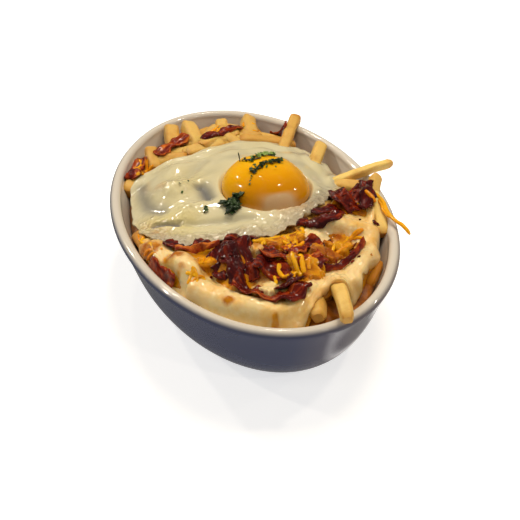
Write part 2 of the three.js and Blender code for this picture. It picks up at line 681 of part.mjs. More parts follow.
const PARSLEY = {
  parsley_leaf: { path: [[-12, -18], [-12, -12], [-7, -7]], width: 8 },
  parsley_sprig: { path: [[-1, -8], [4, -4], [10, 0], [16.5, 1.5]], width: 4.5 },
  parsley_tuft: { path: [[3, 6.5], [7.5, 9.5], [13, 10.5]], width: 5 },
  parsley_flake: { path: [[-24, -12], [-23, -7]], width: 3 },
};

// Assembly

function finish(color, roughness, metalness = 0) {
  return new THREE.MeshStandardMaterial({ color, roughness, metalness });
}

const FINISHES = {
  dish: finish(0xdcd2c2, 0.16),
  fries: finish(0xe6bf77, 0.55),
  sauce: finish(0xdcc18a, 0.35),
  white: finish(0xe4dcc2, 0.3),
  yolk: finish(0xe0a010, 0.15),
  bacon: finish(0x6e2412, 0.4),
  parsley: finish(0x2c4a16, 0.6),
};

const group = new THREE.Group();

function addPiece(name, geometry, material) {
  const mesh = new THREE.Mesh(geometry, material);
  mesh.name = name;
  group.add(mesh);
}

const dish = dishBody();
const dishRoom = toSolid(dishBody(FIT_GAP));
const white = whiteBody();
const whiteRoom = toSolid(whiteBody(FIT_GAP));

// The sauce gives way to the egg, and the fries to both and to the dish
const bareSauce = largestPiece(toSolid(sauceBody()).subtract(whiteRoom).subtract(dishRoom));
const sauceRoom = toSolid(sauceBody(FIT_GAP));
const rooms = whiteRoom.add(sauceRoom).add(dishRoom);
let heap = toSolid(heapCore());
const sticks = [...SHOWN_FRIES, ...scatteredFries()].map(fryBody);
for (const stick of [...sticks, ...threadBodies()]) {
  heap = heap.add(toSolid(stick).subtract(rooms));
}
heap = largestPiece(heap);

const map = new HeightMap();
[dish, white, toGeometry(heap), toGeometry(bareSauce)].forEach((body) => map.add(body));
let sauce = bareSauce;
for (const path of SAUCE_SHREDS) sauce = sauce.add(toSolid(shredBody(map, path)));
sauce = largestPiece(sauce);
map.add(toGeometry(sauce));

addPiece('dish', dish, FINISHES.dish);
addPiece('fries', toGeometry(heap), FINISHES.fries);
addPiece('cheese_sauce', toGeometry(sauce), FINISHES.sauce);
addPiece('egg_white', white, FINISHES.white);
const yolk = yolkBody();
addPiece('egg_yolk', yolk, FINISHES.yolk);
map.add(yolk);

BACON.forEach((strip, i) => {
  const body = baconBody(map, strip, i + 1);
  map.add(body);
  addPiece(`bacon_${String(i + 1).padStart(2, '0')}`, body, FINISHES.bacon);
});
for (const [name, { path, width }] of Object.entries(PARSLEY)) {
  const body = leafBody(map, path, width);
  map.add(body);
  addPiece(name, body, FINISHES.parsley);
}

export default group;
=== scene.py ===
"""Cheese fries in an oval baking dish: the dressed model, its camera, floor and light.

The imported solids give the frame: the origin is the centre of the dish's underside, +Z is
up and the dish is long along Y. Shapes are worked out in millimetres and made in metres.
"""
from __future__ import annotations

import logging
import math
from dataclasses import dataclass
from enum import Enum
from functools import partialmethod
from typing import Iterable, Sequence

import bpy
import numpy as np
from mathutils import Matrix, Vector

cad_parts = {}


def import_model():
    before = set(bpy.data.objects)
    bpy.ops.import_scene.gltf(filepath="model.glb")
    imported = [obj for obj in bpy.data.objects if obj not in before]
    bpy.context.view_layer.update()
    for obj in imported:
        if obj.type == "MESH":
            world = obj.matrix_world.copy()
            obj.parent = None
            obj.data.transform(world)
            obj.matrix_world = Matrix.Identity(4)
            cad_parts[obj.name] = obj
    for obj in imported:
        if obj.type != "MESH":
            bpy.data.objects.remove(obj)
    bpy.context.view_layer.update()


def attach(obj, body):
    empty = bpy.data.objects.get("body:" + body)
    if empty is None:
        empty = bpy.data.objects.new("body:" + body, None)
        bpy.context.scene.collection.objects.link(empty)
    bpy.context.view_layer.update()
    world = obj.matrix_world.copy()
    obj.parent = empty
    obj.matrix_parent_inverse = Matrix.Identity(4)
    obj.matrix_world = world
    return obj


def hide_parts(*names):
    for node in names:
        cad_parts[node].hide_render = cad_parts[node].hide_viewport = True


LOG = logging.getLogger("cheese_fries")
MM = 0.001
TURN = 2 * math.pi
BODY = "root"

Path = Sequence[tuple[float, ...]]
Colour = tuple[float, float, float]


# Rules of shape


def smoothstep(low: float, high: float, value: np.ndarray) -> np.ndarray:
    """Returns a smooth way from 0 at low to 1 at high, which may be the smaller number."""
    t = np.clip((value - low) / (high - low), 0.0, 1.0)
    return t * t * (3.0 - 2.0 * t)


def hump(x: np.ndarray, y: np.ndarray, at: Sequence[float], radius: float) -> np.ndarray:
    """Returns a round hump of height 1 at a place of the plan."""
    return np.exp(-1.6 * ((x - at[0]) ** 2 + (y - at[1]) ** 2) / radius ** 2)


def humps(x: np.ndarray, y: np.ndarray, table: Iterable[tuple]) -> np.ndarray:
    """Returns the sum of humps given by place, radius and height."""
    return sum(height * hump(x, y, at, radius) for at, radius, height in table)


def waves(turn: np.ndarray, table: Iterable[tuple]) -> np.ndarray:
    """Returns the sum of waves round an outline, given by height, number and phase."""
    return sum(height * np.sin(number * turn + phase) for height, number, phase in table)


def crease(x: np.ndarray, y: np.ndarray, path: Path, width: float) -> np.ndarray:
    """Returns 1 on a path over the plan, falling smoothly to 0 on both sides."""
    best = np.full(np.shape(x), np.inf)
    for (ax, ay), (bx, by) in zip(path[:-1], path[1:]):
        wx, wy = bx - ax, by - ay
        t = np.clip(((x - ax) * wx + (y - ay) * wy) / (wx ** 2 + wy ** 2), 0.0, 1.0)
        best = np.minimum(best, (x - ax - t * wx) ** 2 + (y - ay - t * wy) ** 2)
    return np.exp(-best / width ** 2)


def curve_through(points: Path, count: int, closed: bool = False) -> np.ndarray:
    """Spaces points evenly along a smooth curve.

    Args:
        points: the places that the curve passes.
        count: how many points to return.
        closed: whether the curve returns to its start.

    Returns:
        An array of count places.
    """
    knots = np.asarray(points, float)
    if closed:
        padded = np.vstack([knots[-1], knots, knots[:2]])
    else:
        padded = np.vstack([2 * knots[0] - knots[1], knots, 2 * knots[-1] - knots[-2]])
    t = np.linspace(0.0, 1.0, 24, endpoint=False)[:, None]
    fine = np.vstack([
        0.5 * (2 * b + (c - a) * t + (2 * a - 5 * b + 4 * c - d) * t ** 2
               + (3 * b - a - 3 * c + d) * t ** 3)
        for a, b, c, d in zip(padded, padded[1:], padded[2:], padded[3:])] + [padded[-2][None]])
    gone = np.concatenate([[0.0], np.cumsum(np.linalg.norm(np.diff(fine, axis=0), axis=1))])
    places = np.linspace(0.0, gone[-1], count, endpoint=not closed)
    return np.stack([np.interp(places, gone, column) for column in fine.T], 1)


def circle(count: int) -> np.ndarray:
    """Returns evenly spaced directions all the way round."""
    return np.linspace(0, TURN, count, endpoint=False)


class Unevenness:
    """Smooth random waves, between about -1 and 1, over the plan or along a line."""

    def __init__(self, wavelength: float, seed: int, octaves: int = 3) -> None:
        """Draws the waves.

        Args:
            wavelength: the longest wave, in millimetres.
            seed: start of the random draw.
            octaves: how many sets of waves there are, each finer than the one before.
        """
        rng = np.random.default_rng(seed)
        self.waves = []
        for octave in range(octaves):
            for _ in range(6):
                way = rng.uniform(0, TURN)
                pitch = TURN / wavelength * 2 ** octave * rng.uniform(0.7, 1.4)
                self.waves.append((pitch * math.cos(way), pitch * math.sin(way),
                                   rng.uniform(0, TURN), 0.42 / 1.7 ** octave))

    def __call__(self, x: np.ndarray, y: np.ndarray) -> np.ndarray:
        """Returns the waves' height at places of the plan."""
        return sum(h * np.sin(a * x + b * y + c) for a, b, c, h in self.waves)


@dataclass(frozen=True)
class DishShape:
    """Sizes of the oval dish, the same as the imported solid's."""

    length: float = 200.0
    width: float = 136.0
    height: float = 47.5
    wall: float = 5.5
    corner_height: float = 32.0
    corner_inset: float = 5.0

    @property
    def lip(self) -> float:
        """Height of the middle of the rolled lip."""
        return self.height - self.wall / 2

    def cavity_inset(self, z: np.ndarray) -> np.ndarray:
        """Returns how far inside the rim's outline the cavity's wall lies at a height."""
        flare = np.clip((self.lip - z) / (self.lip - self.corner_height), 0.0, 1.0)
        radius = self.corner_height - self.wall
        drop = np.clip(self.corner_height - z, 0.0, radius)
        corner = self.corner_height - np.sqrt(np.maximum(radius ** 2 - drop ** 2, 0.0))
        return np.where(z >= self.corner_height, self.wall + self.corner_inset * flare,
                        self.corner_inset + corner)

    def ring(self, inset: float | np.ndarray, z: float | np.ndarray,
             turns: np.ndarray) -> np.ndarray:
        """Returns the oval that lies inset from the rim's outline at a height."""
        return np.stack([(self.width / 2 - inset) * np.cos(turns),
                         (self.length / 2 - inset) * np.sin(turns), z + 0 * turns], 1)


@dataclass(frozen=True)
class HeapShape:
    """The mound that the fries form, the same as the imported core's."""

    dish: DishShape = DishShape()
    crown: float = 51.0
    edge: float = 39.0
    rise_front: float = 4.0
    rise_left: float = 1.5
    roundness: float = 0.8
    gap: float = 0.35

    def edge_height(self, x: np.ndarray, y: np.ndarray) -> np.ndarray:
        """Returns the height at which the heap meets the wall."""
        return (self.edge - self.rise_front * 2 * y / self.dish.length
                - self.rise_left * 2 * x / self.dish.width)

    def share(self, x: np.ndarray, y: np.ndarray) -> np.ndarray:
        """Returns how far out a place is, from 0 in the middle to 1 at the wall."""
        inset = self.dish.cavity_inset(self.edge_height(x, y)) + self.gap
        return np.hypot(x / (self.dish.width / 2 - inset), y / (self.dish.length / 2 - inset))

    def height(self, x: np.ndarray, y: np.ndarray) -> np.ndarray:
        """Returns the height of the bare core."""
        edge = self.edge_height(x, y)
        away = np.clip(1.0 - self.share(x, y) ** 2, 0.0, None)
        return edge + (self.crown - edge) * away ** self.roundness


DISH = DishShape()
HEAP = HeapShape()


class Landscape:
    """Heights of all that has been laid so far, on a fine grid, for laying the next piece."""

    def __init__(self, cell: float = 0.7, half_x: float = 84.0, half_y: float = 108.0,
                 sunk: float = 2.5) -> None:
        """Starts from the bare core of the heap.

        Args:
            cell: width of a cell.
            half_x: half the width that the grid covers.
            half_y: half the length that it covers.
            sunk: how far the start lies below the core.
        """
        self.cell = cell
        self.x = np.arange(-half_x, half_x, cell)
        self.y = np.arange(-half_y, half_y, cell)
        self.grid_x, self.grid_y = np.meshgrid(self.x, self.y)
        self.heights = HEAP.height(self.grid_x, self.grid_y) - sunk

    def add_stick(self, path: np.ndarray, radius: float) -> None:
        """Raises the heights to a stick's upper side."""
        for start, end in zip(path[:-1], path[1:]):
            low = np.minimum(start, end)[:2] - radius
            high = np.maximum(start, end)[:2] + radius
            part = (slice(*np.searchsorted(self.y, [low[1], high[1]])),
                    slice(*np.searchsorted(self.x, [low[0], high[0]])))
            x, y = self.grid_x[part] - start[0], self.grid_y[part] - start[1]
            way = (end - start)[:2]
            t = np.clip((x * way[0] + y * way[1]) / max(way @ way, 1e-6), 0.0, 1.0)
            off = np.hypot(x - way[0] * t, y - way[1] * t)
            top = start[2] + (end[2] - start[2]) * t + radius * np.sqrt(
                np.clip(1.0 - (off / radius) ** 4, 0.0, 1.0))
            held = self.heights[part]
            held[off < radius] = np.maximum(held, top)[off < radius]

    def add_points(self, points: np.ndarray) -> None:
        """Raises the heights to points that lie closer together than the cells."""
        row, column = (np.clip(np.rint((points[:, k] - axis[0]) / self.cell).astype(int), 0,
                               len(axis) - 1) for k, axis in ((1, self.y), (0, self.x)))
        np.maximum.at(self.heights, (row, column), points[:, 2])

    def sample(self, x: np.ndarray, y: np.ndarray, field: np.ndarray | None = None) -> np.ndarray:
        """Reads the heights, or another field on the grid, between the cells."""
        field = self.heights if field is None else field
        u, v = (np.clip((place - axis[0]) / self.cell, 0, len(axis) - 1.001)
                for place, axis in ((x, self.x), (y, self.y)))
        i, j = u.astype(int), v.astype(int)
        u, v = u - i, v - j
        return ((field[j, i] * (1 - u) + field[j, i + 1] * u) * (1 - v)
                + (field[j + 1, i] * (1 - u) + field[j + 1, i + 1] * u) * v)

    def spread(self, reach: float) -> np.ndarray:
        """Returns the highest point within reach of every cell."""
        cells = max(1, round(reach / self.cell))
        steps = range(-cells, cells + 1)
        return np.maximum.reduce([np.roll(self.heights, (j, i), (0, 1)) for i in steps
                                  for j in steps if math.hypot(i, j) <= cells + 0.3])

    def smoothed(self, reach: float, width: float) -> np.ndarray:
        """Returns the heights as a skin laid over them: widened by reach, then blurred."""
        return self.blurred(self.spread(reach), width)

    def blurred(self, field: np.ndarray, width: float) -> np.ndarray:
        """Returns a field smoothed over about the given width."""
        reach = max(1, round(2.2 * width / self.cell))
        weights = np.exp(-0.5 * (np.arange(-reach, reach + 1) * self.cell / width) ** 2)
        weights /= weights.sum()
        for axis in (0, 1):
            field = sum(w * np.roll(field, k - reach, axis) for k, w in enumerate(weights))
        return field


# Bodies made of points and faces


def linked(name: str, data: bpy.types.ID) -> bpy.types.Object:
    """Returns a new object with the given data, linked to the scene."""
    piece = bpy.data.objects.new(name, data)
    bpy.context.scene.collection.objects.link(piece)
    return piece


def store(mesh: bpy.types.Mesh, values: dict[str, np.ndarray]) -> None:
    """Stores fields of numbers, or of triples of numbers, on a mesh's points."""
    for key, value in values.items():
        value = np.asarray(value, np.float32)
        kind, item = ("FLOAT", "value") if value.ndim == 1 else ("FLOAT_VECTOR", "vector")
        mesh.attributes.new(key, kind, "POINT").data.foreach_set(item, value.ravel())


def dress(piece: bpy.types.Object, slot: str, *nodes: str) -> None:
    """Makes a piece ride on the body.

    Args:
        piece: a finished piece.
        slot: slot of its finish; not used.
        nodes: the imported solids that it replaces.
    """
    if nodes:
        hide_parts(*nodes)
    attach(piece, BODY)


@dataclass
class Form:
    """A closed body in millimetres, with what it stores on its points."""

    points: np.ndarray
    faces: np.ndarray
    values: dict[str, np.ndarray]

    @staticmethod
    def joined(forms: Sequence["Form"]) -> "Form":
        """Returns one form that holds several with four-sided faces."""
        starts = np.cumsum([0] + [len(form.points) for form in forms[:-1]])
        return Form(
            np.vstack([form.points for form in forms]),
            np.vstack([form.faces + start for form, start in zip(forms, starts)]),
            {key: np.concatenate([form.values[key] for form in forms])
             for key in forms[0].values})

    def to_object(self, name: str, material: bpy.types.Material | None) -> bpy.types.Object:
        """Makes the form a smooth mesh in metres.

        Args:
            name: name of the new object.
            material: its finish, if it is more than a pattern.

        Returns:
            The object, linked to the scene.
        """
        mesh = bpy.data.meshes.new(name)
        faces = [tuple(dict.fromkeys(face)) for face in self.faces.tolist()]
        mesh.from_pydata((self.points * MM).tolist(), [], faces)
        store(mesh, self.values)
        mesh.polygons.foreach_set("use_smooth", np.ones(len(mesh.polygons), bool))
        if material:
            mesh.materials.append(material)
        mesh.update()
        return linked(name, mesh)


def ring_body(rings: np.ndarray, values: dict[str, np.ndarray] | None = None) -> Form:
    """Skins rings of points and closes both ends with a point.

    Args:
        rings: an array of rings, points and coordinates.
        values: fields on the rings' points.

    Returns:
        The closed form, facing outwards if the rings run anticlockwise from bottom to top.
    """
    total, count = rings.shape[:2]
    points = np.vstack([rings.reshape(-1, 3), rings[0].mean(0), rings[-1].mean(0)])
    i, j = np.meshgrid(np.arange(total - 1) * count, np.arange(count), indexing="ij")
    k = (j + 1) % count
    sides = np.stack([i + j, i + k, i + count + k, i + count + j], -1).reshape(-1, 4)
    j, k = j[0], k[0]
    low, last = np.full(count, total * count), (total - 1) * count
    stored = {key: np.concatenate([value.ravel(), [value[0].mean(), value[-1].mean()]])
              for key, value in (values or {}).items()}
    return Form(points, np.vstack([sides, np.stack([low, k, j, low], -1), np.stack(
        [low + 1, last + j, last + k, low + 1], -1)]), stored)


def round_sheet(plan: np.ndarray, low: np.ndarray, high: np.ndarray,
                values: dict[str, np.ndarray]) -> Form:
    """Closes a sheet laid out in rings round a middle, between two fields of heights.

    Args:
        plan: places of the rings' points, anticlockwise, from the middle outwards.
        low: heights of the underside.
        high: heights of the upper side.
        values: fields on the plan, stored on both sides.

    Returns:
        The closed form.
    """
    bottom = np.concatenate([plan, low[..., None]], -1)
    top = np.concatenate([plan, high[..., None]], -1)[::-1]
    return ring_body(np.concatenate([bottom, top]), {
        key: np.concatenate([value, value[::-1]]) for key, value in values.items()})


def spokes(outline: np.ndarray, centre: Sequence[float], rings: int, power: float,
           start: float = 0.012) -> tuple[np.ndarray, np.ndarray]:
    """Lays out rings from near a centre to an outline.

    Args:
        outline: the outer ring, anticlockwise.
        centre: the middle.
        rings: how many rings there are.
        power: above 1, the rings lie closer together towards the edge.
        start: share of the way at which the first ring lies.

    Returns:
        Places of the rings' points, and each ring's share of the way.
    """
    share = 1 - (1 - start) * (1 - np.linspace(0, 1, rings)) ** power
    middle = np.asarray(centre, float)
    return middle + (outline - middle)[None] * share[:, None, None], share


def anticlockwise(outline: np.ndarray) -> np.ndarray:
    """Returns an outline turned to run anticlockwise seen from above."""
    x, y = outline.T
    area = np.sum(x * np.roll(y, -1) - np.roll(x, -1) * y)
    return outline if area > 0 else outline[::-1]


# Node trees


@dataclass(frozen=True)
class Value:
    """A socket that takes part in sums, so that a pattern reads as a formula."""

    tree: "Tree"
    socket: bpy.types.NodeSocket

    def _sum(self, other: "Value | float", operation: str) -> "Value":
        """Returns the result of a sum with a number or another value."""
        return self.tree.value("ShaderNodeMath", 0, {0: self, 1: other}, operation=operation)

    __add__ = partialmethod(_sum, operation="ADD")
    __sub__ = partialmethod(_sum, operation="SUBTRACT")
    __mul__ = partialmethod(_sum, operation="MULTIPLY")
    __abs__ = partialmethod(_sum, 0.0, operation="ABSOLUTE")

    def clamped(self) -> "Value":
        """Returns the last sum, kept between 0 and 1."""
        self.socket.node.use_clamp = True
        return self

    def swayed(self, noise: "Value", middle: float, strength: float) -> "Value":
        """Returns the value plus a noise about its middle."""
        return self + (noise - middle) * strength

    def band(self, low: float, high: float) -> "Value":
        """Returns the value stretched so that low gives 0 and high gives 1."""
        return self.tree.value("ShaderNodeMapRange", 0, {
            "Value": self, "From Min": low, "From Max": high})


class Tree:
    """Shorthand for building a node tree."""

    def __init__(self, tree: bpy.types.NodeTree) -> None:
        """Wraps a tree."""
        self.tree = tree

    def set(self, socket: bpy.types.NodeSocket, value: object) -> None:
        """Links a value, a node or a socket to a socket, or sets a constant or colour."""
        if isinstance(value, bpy.types.Node):
            value = value.outputs[0]
        if isinstance(value, Value):
            value = value.socket
        if isinstance(value, bpy.types.NodeSocket):
            self.tree.links.new(value, socket)
        elif isinstance(value, tuple) and socket.type == "RGBA":
            socket.default_value = (*value, 1.0)
        else:
            socket.default_value = value

    def add(self, kind: str, inputs: dict | None = None, **settings) -> bpy.types.Node:
        """Adds a node.

        Args:
            kind: the node's type.
            inputs: what to link or set, by the input's name or number.
            settings: the node's own properties.

        Returns:
            The new node.
        """
        node = self.tree.nodes.new(kind)
        for key, value in settings.items():
            setattr(node, key, value)
        for key, value in (inputs or {}).items():
            self.set(node.inputs[key], value)
        return node

    def value(self, kind: str, output: int | str, inputs: dict | None = None,
              **settings) -> Value:
        """Adds a node and returns one of its outputs."""
        return Value(self, self.add(kind, inputs, **settings).outputs[output])


def srgb(*channels: int) -> Colour:
    """Returns a screen colour as linear light."""
    parts = (channel / 255 for channel in channels)
    return tuple(part / 12.92 if part <= 0.04045 else ((part + 0.055) / 1.055) ** 2.4
                 for part in parts)


class Shader(Tree):
    """A material's tree, with the patterns that food and glaze need."""

    def __init__(self, name: str) -> None:
        """Starts a new material."""
        self.material = bpy.data.materials.new(name)
        self.material.use_nodes = True
        super().__init__(self.material.node_tree)
        self.surface = self.tree.nodes["Principled BSDF"].inputs
        self.place = self.value("ShaderNodeTexCoord", "Object")

    def stored(self, key: str) -> Value:
        """Returns a value stored on the piece's points."""
        return self.value("ShaderNodeAttribute", "Fac", attribute_name=key)

    def noise(self, scale: float, detail: float = 3.0, roughness: float = 0.55,
              vector: Value | None = None, distortion: float = 0.0) -> Value:
        """Returns a noise of the given scale per metre."""
        return self.value("ShaderNodeTexNoise", "Fac", {
            "Vector": vector or self.place, "Scale": scale, "Detail": detail,
            "Roughness": roughness, "Distortion": distortion})

    def layers(self, colour: object, *coats: tuple[Value, object]) -> Value:
        """Lays colours over a first one, each with the share that it takes."""
        for share, coat in coats:
            colour = self.value("ShaderNodeMix", 2, {0: share, 6: colour, 7: coat},
                                data_type="RGBA")
        return colour

    def bumps(self, *layers: tuple[Value, float]) -> None:
        """Lays bumps of the given heights in millimetres on each other."""
        normal = None
        for height, depth in layers:
            given = {"Height": height, "Distance": depth * MM, "Strength": 1.0}
            if normal:
                given["Normal"] = normal
            normal = self.value("ShaderNodeBump", "Normal", given)
        self.set(self.surface["Normal"], normal)
        self.set(self.surface["Coat Normal"], normal)

    def finish(self, colour: object, roughness: object, look: "Finish") -> bpy.types.Material:
        """Sets the surface.

        Args:
            colour: its colour.
            roughness: its roughness.
            look: how it takes light.

        Returns:
            The finished material.
        """
        weight, depth, reach = look.flesh
        for key, value in (("Base Color", colour), ("Roughness", roughness),
                           ("Specular IOR Level", look.specular),
                           ("Coat Weight", look.coat[0]), ("Coat Roughness", look.coat[1]),
                           ("Subsurface Weight", weight), ("Subsurface Scale", depth * MM),
                           ("Subsurface Radius", reach), ("Emission Color", (1.0, 1.0, 1.0)),
                           ("Emission Strength", look.glow)):
            self.set(self.surface[key], value)
        return self.material


# Finishes


@dataclass(frozen=True)
class Finish:
    """How a surface takes light, whatever its colours.

    coat is the weight and roughness of a wet or glassy coat. flesh is the weight, the depth
    in millimetres and the reach by colour of light under the skin.
    """

    specular: float = 0.5
    coat: tuple = (0.0, 0.03)
    flesh: tuple = (0.0, 0.0, (1.0, 0.2, 0.1))
    glow: float = 0.0


@dataclass(frozen=True)
class Glaze(Finish):
    """Glossy glaze, cream over the lip and inside; below the lip outside, painted shade in slate
    grey, with painted warm light on its right half.
    """

    cream: Colour = srgb(209, 202, 191)
    # The next colour is painted shade on the outside below the lip; the one after it is painted
    # warm light on the outside's right half.
    painted_shade_slate: Colour = srgb(66, 70, 92)
    warm: Colour = srgb(132, 118, 110)
    clay: Colour = srgb(196, 180, 158)
    specular: float = 0.45
    coat: tuple = (0.4, 0.03)

    def make(self) -> bpy.types.Material:
        """Returns the material, which reads outside and bare from the piece."""
        shader = Shader("glaze")
        drift, bare = shader.noise(14, 2), shader.stored("bare")
        side = shader.value("ShaderNodeSeparateXYZ", "X", {0: shader.place})
        # Below the lip outside: painted shade in slate grey, turning to painted warm light on the
        # right half, where X is above 0.
        below = shader.layers(self.painted_shade_slate, (side.band(-0.01, 0.06), self.warm))
        edge = shader.stored("outside").swayed(drift, 0.5, 0.3)
        colour = shader.layers(self.cream, (edge.band(0.15, 0.95), below), (bare, self.clay))
        shader.bumps((shader.noise(30, 2), 0.35))
        return shader.finish(colour, bare * 0.6 + drift * 0.06 + 0.07, self)


@dataclass(frozen=True)
class Potato(Finish):
    """Fried potato: golden, browned at the ends, with a fine dry crust."""

    gold: Colour = srgb(208, 162, 80)
    pale: Colour = srgb(234, 202, 116)
    brown: Colour = srgb(176, 112, 20)
    specular: float = 0.25
    coat: tuple = (0.12, 0.25)
    flesh: tuple = (0.2, 4, (1.0, 0.5, 0.2))

    def make(self) -> bpy.types.Material:
        """Returns the material, which reads along, corner and shade from the piece."""
        shader = Shader("fried_potato")
        patches, shade = shader.noise(95, 4), shader.stored("shade")
        ends = abs(shader.stored("along") - 0.5).band(0.40, 0.54)
        edges = shader.stored("corner") * shader.noise(160, 3).band(0.3, 0.7)
        browned = (ends + edges + patches.band(0.5, 0.8) * 0.75).clamped()
        colour = shader.layers(
            self.brown, (shade.band(0.0, 0.3), self.gold), (shade.band(0.3, 1.0), self.pale),
            (browned * 0.8, self.brown),
            (shader.noise(900, 3).band(0.62, 0.75) * 0.35, self.brown))
        shader.bumps((shader.noise(380, 4, 0.6), 0.28), (shader.noise(1500, 3, 0.6), 0.10))
        return shader.finish(colour, patches * 0.2 + 0.34, self)


@dataclass(frozen=True)
class GapShadeCore(Finish):
    """The inside of the heap, seen only in the gaps: potato colour painted dark as the shade in
    the gaps.
    """

    light: Colour = srgb(176, 104, 20)
    dark: Colour = srgb(98, 46, 6)
    roughness: float = 0.4

    def make(self) -> bpy.types.Material:
        """Returns the material."""
        shader = Shader("heap_depths")
        colour = shader.layers(self.dark, (shader.noise(110, 4).band(0.35, 0.65), self.light))
        shader.bumps((shader.noise(160, 4), 1.2))
        return shader.finish(colour, self.roughness, self)


@dataclass(frozen=True)
class CheeseSauce(Finish):
    """Melted cheese sauce: cream, amber where melted cheddar and fat run through it."""

    cream: Colour = srgb(238, 210, 152)
    warm: Colour = srgb(228, 180, 96)
    gold: Colour = srgb(222, 156, 56)
    honey: Colour = srgb(214, 142, 6)
    amber: Colour = srgb(154, 78, 2)
    rust: Colour = srgb(128, 48, 6)
    specular: float = 0.2
    coat: tuple = (0.6, 0.06)
    flesh: tuple = (0.3, 4, (1.0, 0.6, 0.25))

    def make(self) -> bpy.types.Material:
        """Returns the material, which reads amber and thin from the piece."""
        shader = Shader("cheese_sauce")
        cloud, amber = shader.noise(75, 5, 0.65), shader.stored("amber")
        melted = amber.swayed(shader.noise(150, 4, 0.6), 0.5, 1.3)
        burnt = amber.swayed(shader.noise(260, 4, 0.6), 0.5, 1.8)
        tone = shader.layers(self.honey, (shader.noise(130, 3).band(0.40, 0.62), self.amber))
        thin = shader.stored("thin") * shader.noise(120, 3).band(0.25, 0.75)
        colour = shader.layers(
            self.cream, (cloud.band(0.42, 0.66), self.warm), (melted.band(0.3, 0.85), tone),
            (burnt.band(1.15, 1.5) * 0.6, self.rust), (thin * 0.55, self.gold))
        shader.bumps((shader.noise(150, 2), 0.45), (shader.noise(700, 2), 0.09))
        return shader.finish(colour, cloud * (amber * -0.2 + 0.26) + 0.1, self)


@dataclass(frozen=True)
class EggWhite(Finish):
    """Set egg white: wet and slightly see-through, speckled at its fried edge, with painted shade
    in its folds and over its front skirt.
    """

    white: Colour = srgb(214, 205, 168)
    butter: Colour = srgb(214, 198, 130)
    # The next colour is the fried edge's own and also painted shade over the front skirt.
    lace_and_skirt_shade: Colour = srgb(160, 144, 122)
    # This colour is painted shade for the folds and the dark slit.
    veil: Colour = srgb(92, 94, 102)
    blush: Colour = srgb(222, 178, 140)
    amber: Colour = srgb(206, 148, 40)
    speck: Colour = srgb(112, 92, 62)
    coat: tuple = (1.0, 0.04)
    flesh: tuple = (0.3, 4, (1.0, 0.9, 0.7))

    def make(self) -> bpy.types.Material:
        """Returns the material, which reads fringe, the folds' painted shade, blush, butter and
        stain.
        """
        shader = Shader("egg_white")
        fringe, butter = shader.stored("fringe"), shader.stored("butter")
        colour = shader.layers(
            self.white,
            (butter.swayed(shader.noise(45, 3, 0.6), 0.45, 0.8).clamped(), self.butter),
            # The folds take painted shade; further down, the fringe's colour paints the front
            # skirt's shade.
            (shader.stored("blush"), self.blush), (shader.stored("veil"), self.veil),
            (shader.stored("stain") * shader.noise(170, 4, 0.6).band(0.42, 0.62), self.amber),
            # The fringe colour paints the front skirt's shade as well as the fried edge.
            (fringe * 0.65, self.lace_and_skirt_shade),
            (fringe * shader.noise(620, 4, 0.65).band(0.52, 0.68) * 0.5, self.speck))
        blisters = shader.value("ShaderNodeTexVoronoi", "Distance", {
            "Vector": shader.place, "Scale": 520.0})
        shader.bumps((shader.noise(80, 0), 0.15), (fringe * blisters, 0.5),
                     (butter * shader.noise(330, 1), 1.4))
        return shader.finish(colour, fringe * 0.2 + 0.16, self)


@dataclass(frozen=True)
class Yolk(Finish):
    """Soft yolk: orange-yellow under a thin wet skin, with white over one side, and painted shade
    in deeper orange towards its front.
    """

    bright: Colour = srgb(234, 173, 0)
    # The next colour is painted shade, used towards the yolk's front.
    painted_shade_orange: Colour = srgb(212, 139, 0)
    film: Colour = srgb(216, 184, 142)
    roughness: float = 0.12
    specular: float = 0.1
    coat: tuple = (0.4, 0.03)
    flesh: tuple = (0.15, 3, (1.0, 0.5, 0.1))

    def make(self) -> bpy.types.Material:
        """Returns the material, which reads film and the front's painted shade from the piece."""
        shader = Shader("egg_yolk")
        film = shader.stored("film").swayed(shader.noise(160, 3), 0.5, 0.25).clamped()
        # The yolk's front takes painted shade in the deeper orange.
        colour = shader.layers(self.bright, (shader.stored("low"), self.painted_shade_orange),
                               (film * 0.85, self.film))
        shader.bumps((shader.noise(130, 2), 0.12), (shader.noise(700, 2), 0.02))
        return shader.finish(colour, self.roughness, self)


@dataclass(frozen=True)
class CrispBacon(Finish):
    """Fried bacon: dark red and purple-brown meat, rust and amber fat, greasy gloss."""

    char: Colour = srgb(54, 8, 8)
    meat: Colour = srgb(92, 15, 4)
    rust: Colour = srgb(146, 48, 8)
    fat: Colour = srgb(202, 112, 34)
    specular: float = 0.12
    coat: tuple = (0.45, 0.04)
    flesh: tuple = (0.1, 2, (1.0, 0.25, 0.1))

    def make(self) -> bpy.types.Material:
        """Returns the material, which reads along, across, shade and tone."""
        shader = Shader("crisp_bacon")
        streaks = shader.value("ShaderNodeCombineXYZ", 0, {
            axis: shader.stored(key) * scale for axis, (key, scale) in enumerate(
                (("along", 0.9), ("across", 3.6), ("shade", 40.0)))})
        lean = shader.noise(1.0, 4, 0.6, streaks, 0.6).swayed(shader.stored("tone"), 0.42, 0.3)
        crisp = shader.noise(220, 4, 0.6).band(0.5, 0.72)
        colour = shader.layers(
            self.char, (lean.band(0.34, 0.48), self.meat), (lean.band(0.48, 0.60), self.rust),
            (lean.band(0.60, 0.74), self.fat), (crisp * 0.55, self.char))
        shader.bumps((shader.noise(200, 3, 0.6), 0.35), (shader.noise(700, 2), 0.1))
        return shader.finish(colour, crisp * 0.3 + 0.2, self)


